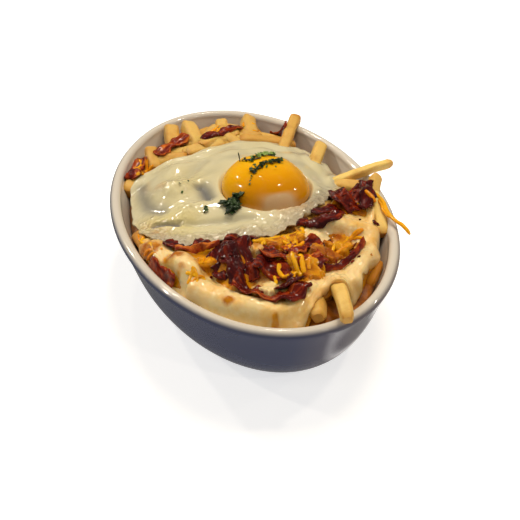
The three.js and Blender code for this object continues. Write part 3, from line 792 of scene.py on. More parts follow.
@dataclass(frozen=True)
class Cheddar(Finish):
    """Half-melted shreds of cheddar."""

    yellow: Colour = srgb(242, 176, 14)
    orange: Colour = srgb(226, 134, 4)
    roughness: float = 0.26
    specular: float = 0.2
    coat: tuple = (0.3, 0.1)
    flesh: tuple = (0.25, 3, (1.0, 0.5, 0.1))

    def make(self) -> bpy.types.Material:
        """Returns the material, which reads shade from the piece."""
        shader = Shader("cheddar")
        tone = shader.stored("shade").swayed(shader.noise(300, 3), 0.5, 0.6).clamped()
        shader.bumps((shader.noise(600, 3), 0.2))
        return shader.finish(shader.layers(self.yellow, (tone, self.orange)),
                             self.roughness, self)


@dataclass(frozen=True)
class Parsley(Finish):
    """Chopped parsley: dark wet leaf, a little of it pale."""

    dark: Colour = srgb(24, 44, 14)
    green: Colour = srgb(66, 98, 28)
    pale: Colour = srgb(142, 172, 84)
    roughness: float = 0.42
    coat: tuple = (0.2, 0.2)

    def make(self) -> bpy.types.Material:
        """Returns the material, which reads shade from the piece."""
        shader = Shader("parsley")
        tone = shader.stored("shade").swayed(shader.noise(420, 3), 0.5, 0.5).clamped()
        shader.bumps((shader.noise(900, 3), 0.2))
        colour = shader.layers(self.dark, (tone.band(0.1, 0.55), self.green),
                               (tone.band(0.6, 0.95), self.pale))
        return shader.finish(colour, self.roughness, self)


@dataclass(frozen=True)
class Paper(Finish):
    """The plain pale floor."""

    white: Colour = (0.68, 0.68, 0.68)
    grey: Colour = (0.62, 0.62, 0.62)
    roughness: float = 0.9
    specular: float = 0.1
    glow: float = 0.64

    def make(self) -> bpy.types.Material:
        """Returns the material."""
        shader = Shader("floor")
        colour = shader.layers(self.white, (shader.noise(40, 3) * 0.04, self.grey))
        return shader.finish(colour, self.roughness, self)


# Geometry Nodes for what follows a path or is scattered


class GeometryTree(Tree):
    """Geometry Nodes that turn a guide mesh into a finished piece."""

    def __init__(self, name: str, inputs: dict[str, tuple[str, float | None]]) -> None:
        """Starts the tree.

        Args:
            name: its name.
            inputs: kind and usual value of each input besides the guide mesh.
        """
        super().__init__(bpy.data.node_groups.new(name, "GeometryNodeTree"))
        self.sockets: dict[str, str] = {}
        for label, (kind, value) in {"Geometry": ("Geometry", None), **inputs}.items():
            socket = self.tree.interface.new_socket(label, in_out="INPUT",
                                                    socket_type=f"NodeSocket{kind}")
            if value is not None:
                socket.default_value = value
            self.sockets[label] = socket.identifier
        self.tree.interface.new_socket("Geometry", in_out="OUTPUT",
                                       socket_type="NodeSocketGeometry")
        self.given = self.add("NodeGroupInput").outputs

    def named(self, name: str, kind: str = "FLOAT") -> bpy.types.NodeSocket:
        """Returns what the guide mesh stores under a name."""
        return self.add("GeometryNodeInputNamedAttribute", {"Name": name},
                        data_type=kind).outputs["Attribute"]

    def keep(self, geometry: bpy.types.Node, name: str, value: object) -> bpy.types.Node:
        """Stores a number on a geometry's points."""
        return self.add("GeometryNodeStoreNamedAttribute", {
            "Geometry": geometry, "Name": name, "Value": value},
            data_type="FLOAT", domain="POINT")

    def moved(self, mesh: bpy.types.Node, way: object, length: object) -> bpy.types.Node:
        """Moves a mesh's points along a field of directions times a length."""
        offset = self.add("ShaderNodeVectorMath", {0: way, "Scale": length}, operation="SCALE")
        return self.add("GeometryNodeSetPosition", {"Geometry": mesh, "Offset": offset})

    def end(self, geometry: bpy.types.Node, material: bpy.types.Material) -> None:
        """Ends the tree with real geometry that wears the material."""
        real = self.add("GeometryNodeRealizeInstances", {0: geometry})
        self.add("NodeGroupOutput", {0: self.add("GeometryNodeSetMaterial", {
            "Geometry": real, "Material": material})})

    def run(self, name: str, points: np.ndarray, edges: Sequence[tuple[int, int]],
            values: dict[str, np.ndarray], **sizes: object) -> bpy.types.Object:
        """Runs the tree on a guide mesh and keeps only its result.

        Args:
            name: name of the finished piece.
            points: the guide mesh's points in millimetres.
            edges: its edges.
            values: fields on its points.
            sizes: inputs of the tree, with _ for a space.

        Returns:
            The finished object.
        """
        mesh = bpy.data.meshes.new(name)
        mesh.from_pydata((points * MM).tolist(), edges, [])
        store(mesh, values)
        guide = linked(f"{name}_guide", mesh)
        modifier = guide.modifiers.new("build", "NODES")
        modifier.node_group = self.tree
        for key, value in sizes.items():
            modifier[self.sockets[key.replace("_", " ")]] = value
        graph = bpy.context.evaluated_depsgraph_get()
        made = bpy.data.meshes.new_from_object(guide.evaluated_get(graph), depsgraph=graph)
        bpy.data.objects.remove(guide)
        bpy.data.meshes.remove(mesh)
        made.name = name
        return linked(name, made)


class Section(Enum):
    """A laid stick's cross-section: fillet steps, fillet width, points and crags in mm."""

    FRY = (4, 0.24, 20, 0.55)
    SHRED = (2, 0.42, 8, 0.2)
    STEM = (1, 0.45, 6, 0.0)


@dataclass
class Stick:
    """A fry, shred or stem: a path with a thickness, in millimetres."""

    path: np.ndarray
    size: float
    roll: float = 0.0
    shade: float = 0.5
    blunt: float = 0.72
    taper: float = 1.0

    def values(self) -> dict[str, np.ndarray]:
        """Returns what the guide line stores on its points."""
        count = len(self.path)
        thickness = self.size * MM * np.linspace(1, self.taper, count)
        thickness[[0, -1]] *= self.blunt
        return {"thickness": thickness, "roll": np.full(count, self.roll),
                "shade": np.full(count, self.shade)}

    @staticmethod
    def bowed(start: Sequence[float], end: Sequence[float], size: float, bow: float = 0.0,
              sway: float = 0.0, **rest: float) -> "Stick":
        """Returns a stick between two points, bowed upwards and sideways.

        Args:
            start: one end.
            end: the other end.
            size: thickness.
            bow: rise of the middle.
            sway: shift of the middle to the left.
            rest: other fields of the stick.
        """
        a, b = np.asarray(start, float), np.asarray(end, float)
        length = np.linalg.norm(b - a)
        blunt = min(0.12 * size / length, 0.2)
        t = np.array([0.0, blunt, *np.linspace(2.5 * blunt, 1 - 2.5 * blunt, 8), 1 - blunt, 1.0])
        side = np.array([a[1] - b[1], b[0] - a[0], 0.0]) / length
        arch = (4 * t * (1 - t))[:, None]
        path = a + (b - a) * t[:, None] + arch * (sway * side + [0.0, 0.0, bow])
        return Stick(path, size, **rest)


class StickTree(GeometryTree):
    """Geometry Nodes that skin guide lines with a rounded square section."""

    def __init__(self, section: Section, material: bpy.types.Material) -> None:
        """Builds the tree.

        Args:
            section: the section's form.
            material: finish of the sticks.
        """
        super().__init__(f"{section.name.lower()}_sticks", {
            "Step": ("Float", 1.5 * MM), "Flatness": ("Float", 1.0),
            "Wobble": ("Float", 0.4 * MM), "Wobble scale": ("Float", 90.0)})
        self.end(self._crags(self._skin(section), section), material)

    def _skin(self, section: Section) -> bpy.types.Node:
        """Returns the smooth sticks, with along and corner stored on them."""
        steps, corner, points, _ = section.value
        line = self.add("GeometryNodeMeshToCurve", {0: self.given["Geometry"]})
        line = self.add("GeometryNodeResampleCurve", {
            "Curve": line, "Length": self.given["Step"]}, mode="LENGTH")
        line = self.add("GeometryNodeSetCurveNormal", {"Curve": line}, mode="Z_UP")
        line = self.add("GeometryNodeSetCurveTilt", {"Curve": line, "Tilt": self.named("roll")})
        line = self.keep(line, "along", self.add(
            "GeometryNodeSplineParameter").outputs["Factor"])
        height = Value(self, self.given["Flatness"])
        profile = self.add("GeometryNodeCurvePrimitiveQuadrilateral", {
            "Width": 1.0, "Height": height}, mode="RECTANGLE")
        profile = self.add("GeometryNodeFilletCurve", {
            "Curve": profile, "Count": steps, "Radius": height * corner,
            "Limit Radius": True}, mode="POLY")
        profile = self.add("GeometryNodeResampleCurve", {
            "Curve": profile, "Count": points}, mode="COUNT")
        out = self.value("ShaderNodeVectorMath", "Value", {
            0: self.add("GeometryNodeInputPosition")}, operation="LENGTH")
        profile = self.keep(profile, "corner", out.band(0.585, 0.615))
        return self.add("GeometryNodeCurveToMesh", {
            "Curve": line, "Profile Curve": profile, "Scale": self.named("thickness"),
            "Fill Caps": True})

    def _crags(self, mesh: bpy.types.Node, section: Section) -> bpy.types.Node:
        """Returns the sticks made wavy by the wobble and craggy by the section."""
        crags = section.value[-1] * MM
        noise = self.add("ShaderNodeTexNoise", {
            "Scale": self.given["Wobble scale"], "Detail": 2.0})
        sway = self.add("ShaderNodeVectorMath", {
            0: noise.outputs["Color"], 1: (0.5, 0.5, 0.5)}, operation="SUBTRACT")
        mesh = self.moved(mesh, sway, self.given["Wobble"])
        rough = self.value("ShaderNodeTexNoise", "Fac", {
            "Scale": 330.0, "Detail": 3.0, "Roughness": 0.6})
        normal = self.add("GeometryNodeInputNormal").outputs["Normal"]
        mesh = self.moved(mesh, normal, (rough - 0.5) * crags)
        return self.add("GeometryNodeSetShadeSmooth", {0: mesh})

    def lay(self, name: str, sticks: Sequence[Stick], **sizes: float) -> bpy.types.Object:
        """Skins the sticks' guide lines.

        Args:
            name: name of the finished piece.
            sticks: the sticks to make.
            sizes: inputs of the tree, with _ for a space.

        Returns:
            One mesh object with all the sticks.
        """
        edges, start = [], 0
        for stick in sticks:
            end = start + len(stick.path)
            edges += [(i, i + 1) for i in range(start, end - 1)]
            start = end
        return self.run(name, np.vstack([stick.path for stick in sticks]), edges, {
            key: np.concatenate([stick.values()[key] for stick in sticks])
            for key in ("thickness", "roll", "shade")}, **sizes)


class ScatterTree(GeometryTree):
    """Geometry Nodes that put a small shape on every point, turned and sized by the point."""

    def __init__(self, name: str, material: bpy.types.Material) -> None:
        """Builds the tree.

        Args:
            name: name of the tree.
            material: finish of the scattered shapes.
        """
        super().__init__(name, {"Shape": ("Object", None)})
        shape = self.add("GeometryNodeObjectInfo", {"Object": self.given["Shape"]})
        self.end(self.add("GeometryNodeInstanceOnPoints", {
            "Points": self.add("GeometryNodeMeshToPoints", {0: self.given["Geometry"]}),
            "Instance": shape.outputs["Geometry"],
            "Rotation": self.add("FunctionNodeEulerToRotation", {
                0: self.named("turn", "FLOAT_VECTOR")}),
            "Scale": self.named("size", "FLOAT_VECTOR")}), material)

    def scatter(self, name: str, shape: Form, points: np.ndarray, turns: np.ndarray,
                sizes: np.ndarray, shades: np.ndarray) -> bpy.types.Object:
        """Puts the shape on the points.

        Args:
            name: name of the finished piece.
            shape: the small shape, about 1 mm in size.
            points: places in millimetres.
            turns: turns about X, Y and Z for each point.
            sizes: sizes along X, Y and Z for each point.
            shades: a number from 0 to 1 for each point, for its colour.

        Returns:
            One mesh object with all the shapes.
        """
        pattern = shape.to_object(f"{name}_pattern", None)
        made = self.run(name, points, [], {"turn": turns, "size": sizes, "shade": shades},
                        Shape=pattern)
        bpy.data.objects.remove(pattern)
        return made


# Outlines over the plan


# Ends, half width and height of the coated fries under the sauce
SAUCE_RIDGES: Sequence[tuple] = (
    ((-41.5, -61), (-33, -71.3), 8, 4.8), ((-33, -71.3), (-14.5, -84.8), 7.4, 4.5),
    ((-45, -43), (-42, -52), 8, 7.2), ((26, -38), (46, -45), 9, 6),
    ((46, -47), (25, -75), 6.5, 4.4), ((-10, -84), (4, -76), 7, 3),
    ((-12, -60), (12, -56), 6, 2),
)
SAUCE_CENTRE = (2.0, -64.0)
SAUCE_OUTLINE: Path = (
    (46, -14), (54, -26), (51, -44), (44, -59), (34, -69.5), (27, -78), (21, -82), (15, -79),
    (9, -80), (4, -84), (-3, -90.5), (-19, -90.5), (-33, -82.5), (-45, -68.5), (-51, -53.5),
    (-54.5, -40), (-58, -29), (-60, -17), (-56, -13), (-50, -22), (-44, -30), (-28, -38),
    (-6, -42.5), (14, -38.5), (30, -26),
)
YOLK_CENTRE = (8.6, -0.2)
EGG_OUTLINE: Path = (
    (51, -3), (47.5, -9), (41, -13), (33, -18.5), (24.5, -25.5), (17.5, -31), (10, -35.5),
    (3, -38.5), (-5, -39.5), (-13, -38), (-22, -36.5), (-30, -35.5), (-38, -32.5),
    (-46, -26.5), (-52, -17), (-56.5, -9), (-58, 0), (-57, 11), (-56, 24), (-53, 34),
    (-47, 41), (-38, 43), (-28, 45), (-19, 46), (-9, 48.5), (4, 51), (16, 52), (27, 50.5),
    (36, 48), (43, 43), (48, 35), (51, 25), (53, 14), (53, 5),
)


def around(path: Path, centre: Sequence[float],
           count: int) -> tuple[np.ndarray, np.ndarray, np.ndarray]:
    """Spaces points along a closed outline.

    Args:
        path: places that the outline passes.
        centre: a place inside it.
        count: how many points to return.

    Returns:
        The points, anticlockwise, their way from the centre and its direction.
    """
    outline = anticlockwise(curve_through(path, count, True))
    away = outline - centre
    return outline, away, np.arctan2(away[:, 1], away[:, 0])


class Cover:
    """Tells how far under the egg or the sauce a place of the plan lies."""

    def __init__(self, path: Path, centre: Sequence[float], margin: float = 4.0) -> None:
        """Reads an outline.

        Args:
            path: places that the outline passes.
            centre: a place inside it.
            margin: width of the band in which the cover sets in.
        """
        self.centre, self.margin = centre, margin
        _, away, turn = around(path, centre, 400)
        order = np.argsort(turn)
        self.turn, self.reach = turn[order], np.hypot(*away.T)[order]

    def __call__(self, x: np.ndarray, y: np.ndarray) -> np.ndarray:
        """Returns 0 outside the outline and 1 from the margin inwards."""
        x, y = x - self.centre[0], y - self.centre[1]
        reach = np.interp(np.arctan2(y, x), self.turn, self.reach, period=TURN)
        return np.clip((reach - np.hypot(x, y)) / self.margin, 0, 1)


# The object's pieces


def laid(form: Form, land: Landscape, name: str, material: bpy.types.Material, slot: str,
         node: str) -> None:
    """Adds a sheet to the landscape, makes it and dresses it.

    Args:
        form: the sheet.
        land: what has been laid so far.
        name: name of its piece.
        material: its finish.
        slot: slot of its finish.
        node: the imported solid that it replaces.
    """
    land.add_points(form.points)
    dress(form.to_object(name, material), slot, node)


@dataclass
class Dish:
    """The glazed oval dish: one thin wall with a rolled lip and an unglazed foot."""

    shape: DishShape = DISH
    segments: int = 240
    foot_width: float = 5.0
    foot_recess: float = 1.2
    wave: float = 0.12

    def _profile(self) -> tuple[np.ndarray, np.ndarray, np.ndarray]:
        """Follows the wall from the underside's middle over the lip to the cavity's floor.

        Returns:
            Insets and heights, how far each point is outside below the lip, where the glaze paints
            shade, and how bare.
        """
        s = self.shape
        centre = s.corner_inset + s.corner_height
        middle, foot = s.width / 2 - 2, centre + self.foot_width
        under = [(i, self.foot_recess) for i in np.linspace(middle, foot + 1.5, 8)]
        under += [(foot + 0.5, self.foot_recess * 0.7), (foot, 0.15), (foot - 0.4, 0.0),
                  (centre + 1.0, 0.0)]
        outer = [(centre - s.corner_height * np.sin(t), s.corner_height * (1 - np.cos(t)))
                 for t in np.radians(np.linspace(0, 90, 28))]
        outer += [(s.corner_inset * (1 - k), s.corner_height + (s.lip - s.corner_height) * k)
                  for k in np.linspace(0.1, 0.9, 9)]
        rolled = np.linspace(0, 180, 21)
        roll = [(s.wall / 2 * (1 - np.cos(t)), s.lip + s.wall / 2 * np.sin(t))
                for t in np.radians(rolled)]
        inner_radius = s.corner_height - s.wall
        inside = [(s.wall + s.corner_inset * k, s.lip - (s.lip - s.corner_height) * k)
                  for k in np.linspace(0.1, 0.9, 7)]
        inside += [(centre - inner_radius * np.sin(t), s.corner_height - inner_radius * np.cos(t))
                   for t in np.radians(np.linspace(90, 0, 20))]
        inside += [(i, s.wall) for i in np.linspace(centre + 3, middle, 8)]
        profile = np.vstack([under, self._eased(np.array(outer)), roll, inside])
        # The outside share carries the painted shade: 1 over the outer wall, falling to 0 over the
        # lip's roll.
        outside = np.concatenate([np.ones(len(under) + len(outer)),
                                  smoothstep(86, 12, rolled), np.zeros(len(inside))])
        bare = np.zeros(len(profile))
        bare[:len(under) + 1] = 1.0
        return profile, outside, bare

    @staticmethod
    def _eased(wall: np.ndarray, rounds: int = 40) -> np.ndarray:
        """Returns the outer wall's profile with its bend eased."""
        for _ in range(rounds):
            wall[1:-1] += 0.5 * ((wall[:-2] + wall[2:]) / 2 - wall[1:-1])
        return wall

    def build(self, glaze: bpy.types.Material) -> None:
        """Makes and dresses the dish.

        Args:
            glaze: its finish.
        """
        profile, outside, bare = self._profile()
        rings = np.stack([self.shape.ring(*at, circle(self.segments)) for at in profile])
        x, y, z = np.moveaxis(rings, -1, 0)
        z += self.wave * Unevenness(70, 3, 2)(x, y) * smoothstep(30, 44, z)
        ones = np.ones(self.segments)
        form = ring_body(rings, {"outside": np.outer(outside, ones),
                                 "bare": np.outer(bare, ones)})
        dress(form.to_object("baking_dish", glaze), "glaze", "dish")


@dataclass
class FriesHeap:
    """The fries: a core painted dark as the gaps' shade, the fries that show, and more laid over
    the whole heap.

    bare_left is where none are strewn, as a place to the left and half its length. back is
    where the heap's back starts and is full, and how much higher the fries lie there.
    """

    land: Landscape
    fry_size: float = 7.8
    core_drop: float = 3.2
    core_lumps: float = 0.7
    coat: float = 0.6
    coated_rise: float = 1.4
    scattered: int = 175
    tries: int = 6000
    area: tuple = (62, 94)
    half_lengths: tuple = (9, 19)
    sizes: tuple = (6.2, 8.4)
    wall_share: float = 0.96
    front: float = -40
    front_share: float = 0.86
    bare_left: tuple = (-52, 40)
    nested: float = 0.36
    rises: tuple = (-0.6, 2.2)
    back: tuple = (50, 60, 2.0)
    bows: tuple = (0, 0.8)
    sways: tuple = (-1.2, 1.2)
    rolls: tuple = (-0.4, 0.4)
    front_shades: tuple = (0.12, 0.4)
    back_shades: tuple = (0.25, 0.65)
    paler_from: float = 30
    seed: int = 23
    shown: Sequence[tuple] = (
        # start, end, size, bow, roll, shade, taper
        ((-38, 46, 44), (-37, 66, 45), 7, 0.5, 0.1, 0.3, 1),
        ((-26, 58, 44), (-21, 86, 45.5), 8, 1, 0.2, 0.4, 1),
        ((-12, 56, 46), (-12, 84, 47), 8, 1.5, 0.3, 0.6, 1),
        ((4, 62, 44), (9, 86, 45), 7, 0.5, 0.0, 0.5, 1),
        ((18, 56, 45), (24, 83, 46), 8, 1, 0.5, 0.5, 1),
        ((30, 40, 44), (50, 72, 49), 6.5, 1, 0.2, 0.4, 1),
        ((42, 22, 45), (54, 41, 47), 7, 0.5, 0.4, 0.7, 1),
        ((40, 3.5, 43.5), (79, 3.2, 53.2), 5.4, 1.5, 0.1, 1.0, 0.68),
        ((46, 3, 45), (58.5, -8, 47.5), 6.5, 0.5, 0.3, 0.5, 1),
        ((56, -20, 44), (67.5, -3, 50.5), 6, 0.5, 0.6, 0.5, 1),
        ((62, -9, 45.5), (54.5, -42, 43), 7.6, 2, 0.1, 0.95, 0.72),
        ((18, -70, 44), (11.0, -101.2, 51.4), 7.8, 3.2, 0.2, 0.8, 0.66),
        ((8, -74, 42), (2.5, -91, 46), 7.6, 0.8, 0.5, 0.45, 0.8),
        ((34, -70, 38), (44, -60, 42), 6, 0.5, 0.0, 0.0, 1),
        ((-52, -21, 42.5), (-50.5, -36, 44), 8, 1, 0.3, 1.0, 1),
        ((-57.5, -4, 40.5), (-54.5, -27, 41.5), 6, 0.5, 0.5, 0.1, 1),
        ((-56, 34, 40), (-42, 58, 42), 7, 0.5, 0.2, 0.4, 1),
    )

    def _shown(self) -> list[Stick]:
        """Returns the fries that the table places."""
        return [Stick.bowed(start, end, size, bow, roll=roll, shade=shade, taper=taper)
                for start, end, size, bow, roll, shade, taper in self.shown]

    def _coated(self) -> list[Stick]:
        """Returns the fries that raise the sauce in ridges."""
        sticks = []
        for start, end, width, height in SAUCE_RIDGES:
            size = min(0.9 * width, self.fry_size - self.coat)
            ends = [(x, y, float(HEAP.height(np.float64(x), np.float64(y)))
                     + self.coated_rise + height - size / 2) for x, y in (start, end)]
            sticks.append(Stick.bowed(*ends, size, bow=0.6, roll=0.1))
        return sticks

    def _scattered(self) -> list[Stick]:
        """Lays more fries over the heap, each on what is there already."""
        rng = np.random.default_rng(self.seed)
        egg, sauce = Cover(EGG_OUTLINE, YOLK_CENTRE), Cover(SAUCE_OUTLINE, SAUCE_CENTRE)
        steps = np.linspace(0, 1, 7)
        sticks: list[Stick] = []
        for _ in range(self.tries):
            if len(sticks) == self.scattered:
                break
            x, y = (rng.uniform(-half, half) for half in self.area)
            turn, reach = rng.uniform(0, math.pi), rng.uniform(*self.half_lengths)
            size = rng.uniform(*self.sizes)
            ends = np.array([[x + k * reach * math.cos(turn), y + k * reach * math.sin(turn)]
                             for k in (-1, 1)])
            line = (ends[0] + steps[:, None] * (ends[1] - ends[0])).T
            share, hidden = HEAP.share(*ends.T).max(), egg(*line)
            at_front = ends[:, 1].min() < self.front and share > self.front_share
            at_left = ends[:, 0].min() < self.bare_left[0] and abs(y) < self.bare_left[1]
            if share > self.wall_share or hidden.min() > 0.5 or at_front or at_left:
                continue
            core = HEAP.height(*line)
            carried = self.land.sample(*line) + size * self.nested
            start, full, extra = self.back
            roof = core + rng.uniform(*self.rises) + extra * smoothstep(start, full, y)
            roof = np.where(sauce(*line) > 0.5, core - size / 2 + 1.0, roof)
            roof = np.where(hidden > 0.05, core - size / 2 - 1.0, roof)
            height = np.minimum(carried, roof)
            fit = np.polyfit(steps, height, 1)
            below = (height - np.polyval(fit, steps)).min()
            z = np.polyval(fit, [0, 1]) + max(below, -2.0) * 0.5
            sticks.append(Stick.bowed(
                (*ends[0], z[0]), (*ends[1], z[1]), size, rng.uniform(*self.bows),
                rng.uniform(*self.sways), roll=rng.uniform(*self.rolls), shade=rng.uniform(
                    *(self.front_shades if y < self.paler_from else self.back_shades))))
            self.land.add_stick(sticks[-1].path, size / 2)
        return sticks

    def _core(self) -> Form:
        """Returns the core: the cavity's form below, a bumpy mound above."""
        turns = circle(160)
        radius = DISH.corner_height - DISH.wall - HEAP.gap
        centre = DISH.corner_inset + DISH.corner_height
        rings = [DISH.ring(centre - radius * math.sin(t), DISH.corner_height
                           - radius * math.cos(t), turns)
                 for t in np.radians(np.linspace(4, 90, 10))]
        rim = DISH.ring(DISH.wall, 0, turns)
        edge_z = HEAP.edge_height(rim[:, 0], rim[:, 1]) - self.core_drop
        edge = DISH.ring(DISH.cavity_inset(edge_z) + HEAP.gap, edge_z, turns)
        rings.append(edge)
        lumps = Unevenness(13, 5)
        for share in np.linspace(0.985, 0.02, 60):
            x, y = edge[:, 0] * share, edge[:, 1] * share
            rings.append(np.stack([x, y, HEAP.height(x, y) - self.core_drop
                                   + self.core_lumps * lumps(x, y)], 1))
        return ring_body(np.stack(rings))

    def build(self, potato: bpy.types.Material, crust: bpy.types.Material) -> None:
        """Makes and dresses the core and the fries.

        Args:
            potato: finish of the fries.
            crust: finish of the core, painted dark as shade.
        """
        dress(self._core().to_object("heap_core", crust), "fries", "fries")
        shown, coated = self._shown(), self._coated()
        for sticks, coat in ((shown, 0.0), (coated, self.coat)):
            for stick in sticks:
                self.land.add_stick(stick.path, stick.size / 2 + coat)
        sticks = shown + coated + self._scattered()
        fries = StickTree(Section.FRY, potato).lay("fries_laid", sticks, Step=1.9 * MM,
                                                   Wobble=1.5 * MM)
        dress(fries, "fries", "fries")
        LOG.info("laid %d fries", len(sticks))


@dataclass
class SauceSheet:
    """Melted sauce draped over the front of the heap.

    A skin is the reach and the blur of the surface on which it lies, pooling the width of a
    hollow and the share of it that the sauce fills.
    """

    land: Landscape
    segments: int = 340
    rings: int = 84
    film: float = 1.2
    thinnest: float = 0.5
    depth: float = 2.2
    rim: float = 0.6
    rounding: float = 2.2
    skin: tuple = (1.4, 1.5)
    bare_skin: tuple = (0.7, 0.7)
    pooling: tuple = (4.0, 0.45)
    swell: float = 0.35
    ripple: float = 0.12
    ragged: Sequence[tuple] = ((0.022, 9, 1), (0.016, 23, 0))
    amber_spots: Sequence[tuple] = (
        # place, radius, strength
        # The spots at (-45, -42) and (-47, -51) darken the ridge's side, partly melted cheddar and
        # partly painted shade.
        ((-48.5, -38), 4.5, 1.2), ((-56, -25), 9, 1.2), ((-45, -42), 4, 0.8),
        ((-47, -51), 3.5, 0.8), ((-31.7, -75), 3.4, 1.3), ((-16.5, -90), 2.2, 0.9),
        ((-34, -43), 5, 1.0), ((-33, -52), 5, 1.0), ((-42, -58), 2.5, 0.8),
        ((-32, -70.5), 1.8, 0.8), ((-15.5, -89), 2, 0.8), ((-4, -60), 9, 0.6),
        ((6, -64), 7, 0.9), ((4, -70), 5, 0.8), ((15, -55), 6, 0.8), ((27, -53), 7, 0.9),
        ((36, -49), 4, 0.7), ((-4, -44), 9, 1.0), ((8, -44), 8, 1.0), ((-25, -56), 8, 0.8),
        ((40, -66), 4, 0.9), ((49, -22), 6, 0.6),
    )
    amber_band: Path = ((-32, -46), (-22, -58), (-6, -62), (12, -58), (30, -53))
    band_width: float = 9.5
    cream_spots: Sequence[tuple] = (
        ((-13, -72), 6, 0.9), ((38, -40), 9, 0.9), ((-51.5, -33), 3.5, 0.9), ((30, -68), 10, 0.9),
        ((16, -72), 8, 0.9), ((24, -44), 5, 0.6), ((-36, -66), 8, 0.8),
    )

    def _amber(self, x: np.ndarray, y: np.ndarray) -> np.ndarray:
        """Returns how much melted cheddar and fat runs through the sauce."""
        amber = np.maximum(humps(x, y, self.amber_spots),
                           0.95 * crease(x, y, self.amber_band, self.band_width))
        for at, radius, strength in self.cream_spots:
            amber = amber * (1 - strength * hump(x, y, at, radius))
        return np.clip(amber, 0, 1)

    def build(self, sauce: bpy.types.Material) -> None:
        """Makes and dresses the sauce, and adds it to the landscape.

        Args:
            sauce: its finish.
        """
        _, away, turn = around(SAUCE_OUTLINE, SAUCE_CENTRE, self.segments)
        outline = np.asarray(SAUCE_CENTRE) + away * (1 + waves(turn, self.ragged))[:, None]
        plan, share = spokes(outline, SAUCE_CENTRE, self.rings, 1.25)
        x, y = plan[..., 0], plan[..., 1]
        reach = np.hypot(*away.T)[None] * (1 - share[:, None])
        draped = self.land.smoothed(*self.skin)
        under = self.land.sample(x, y, draped)
        width, share_kept = self.pooling
        pool = np.clip(self.land.sample(x, y, self.land.blurred(draped, width) - draped), 0, None)
        film = (self.film + share_kept * pool
                + self.swell * Unevenness(16, 8)(x, y) * smoothstep(0, 4, reach))
        high = np.maximum(under + np.clip(film, self.thinnest, None),
                          HEAP.height(x, y) + self.film)
        high += self.ripple * Unevenness(4.5, 9, 2)(x, y)
        rounded = np.sqrt(np.clip(
            1 - (1 - np.clip(reach / self.rounding, 0, 1)) ** 2, 0, 1))
        bare = self.land.sample(x, y, self.land.smoothed(*self.bare_skin)) + 0.2
        high = bare + (high - bare) * rounded
        laid(round_sheet(plan, high - self.rim - self.depth * rounded, high, {
            "amber": self._amber(x, y), "thin": 1 - smoothstep(0.0, 5.0, reach)}),
            self.land, "sauce_sheet", sauce, "sauce", "cheese_sauce")


@dataclass
class MeltedPatches:
    """Sauce and cheddar that melted over bacon: one sheet that surfaces only in patches.

    ground is how much of the plain sauce's colour is left between the patches.
    """

    land: Landscape
    segments: int = 300
    rings: int = 90
    rise: float = 1.0
    sunk: float = 2.6
    dip: float = 3.0
    thickness: float = 1.5
    skin: tuple = (1.0, 2.5)
    ragged: float = 0.13
    ground: float = 0.02
    patches: Sequence[tuple] = (
        # place, radius, how amber
        ((-11, -50), 5, 0.7), ((-34, -48), 6, 1.0), ((1, -62), 5, 0.9), ((16, -56), 6, 0.9),
        ((28, -52), 9, 0.9), ((8, -67), 8, 0.9), ((22, -58), 6, 1.0), ((-2, -44), 9, 1.0),
        ((9, -43), 7, 1.0), ((-13, -72), 6, 0.1), ((40, -65), 6, 1.0),
    )

    def build(self, sauce: bpy.types.Material) -> None:
        """Makes and dresses the patches, and adds them to the landscape.

        Args:
            sauce: their finish.
        """
        outline = around(SAUCE_OUTLINE, SAUCE_CENTRE, self.segments)[0]
        plan, share = spokes(outline, SAUCE_CENTRE, self.rings, 1.1)
        x, y = plan[..., 0], plan[..., 1]
        parts = [hump(x, y, at, radius) for at, radius, _ in self.patches]
        depth = np.maximum.reduce(parts) + self.ragged * Unevenness(7, 51)(x, y)
        tones = sum(tone * part ** 2 for part, (_, _, tone) in zip(parts, self.patches))
        amber = (self.ground + tones) / (self.ground + sum(part ** 2 for part in parts))
        high = (self.land.sample(x, y, self.land.smoothed(*self.skin))
                + (self.rise + self.sunk) * smoothstep(0.3, 0.7, depth) - self.sunk
                - self.dip * smoothstep(0.94, 1.0, share)[:, None])
        laid(round_sheet(plan, high - self.thickness, high, {
            "amber": amber, "thin": 0 * amber}),
            self.land, "melted_patches", sauce, "sauce", "cheese_sauce")


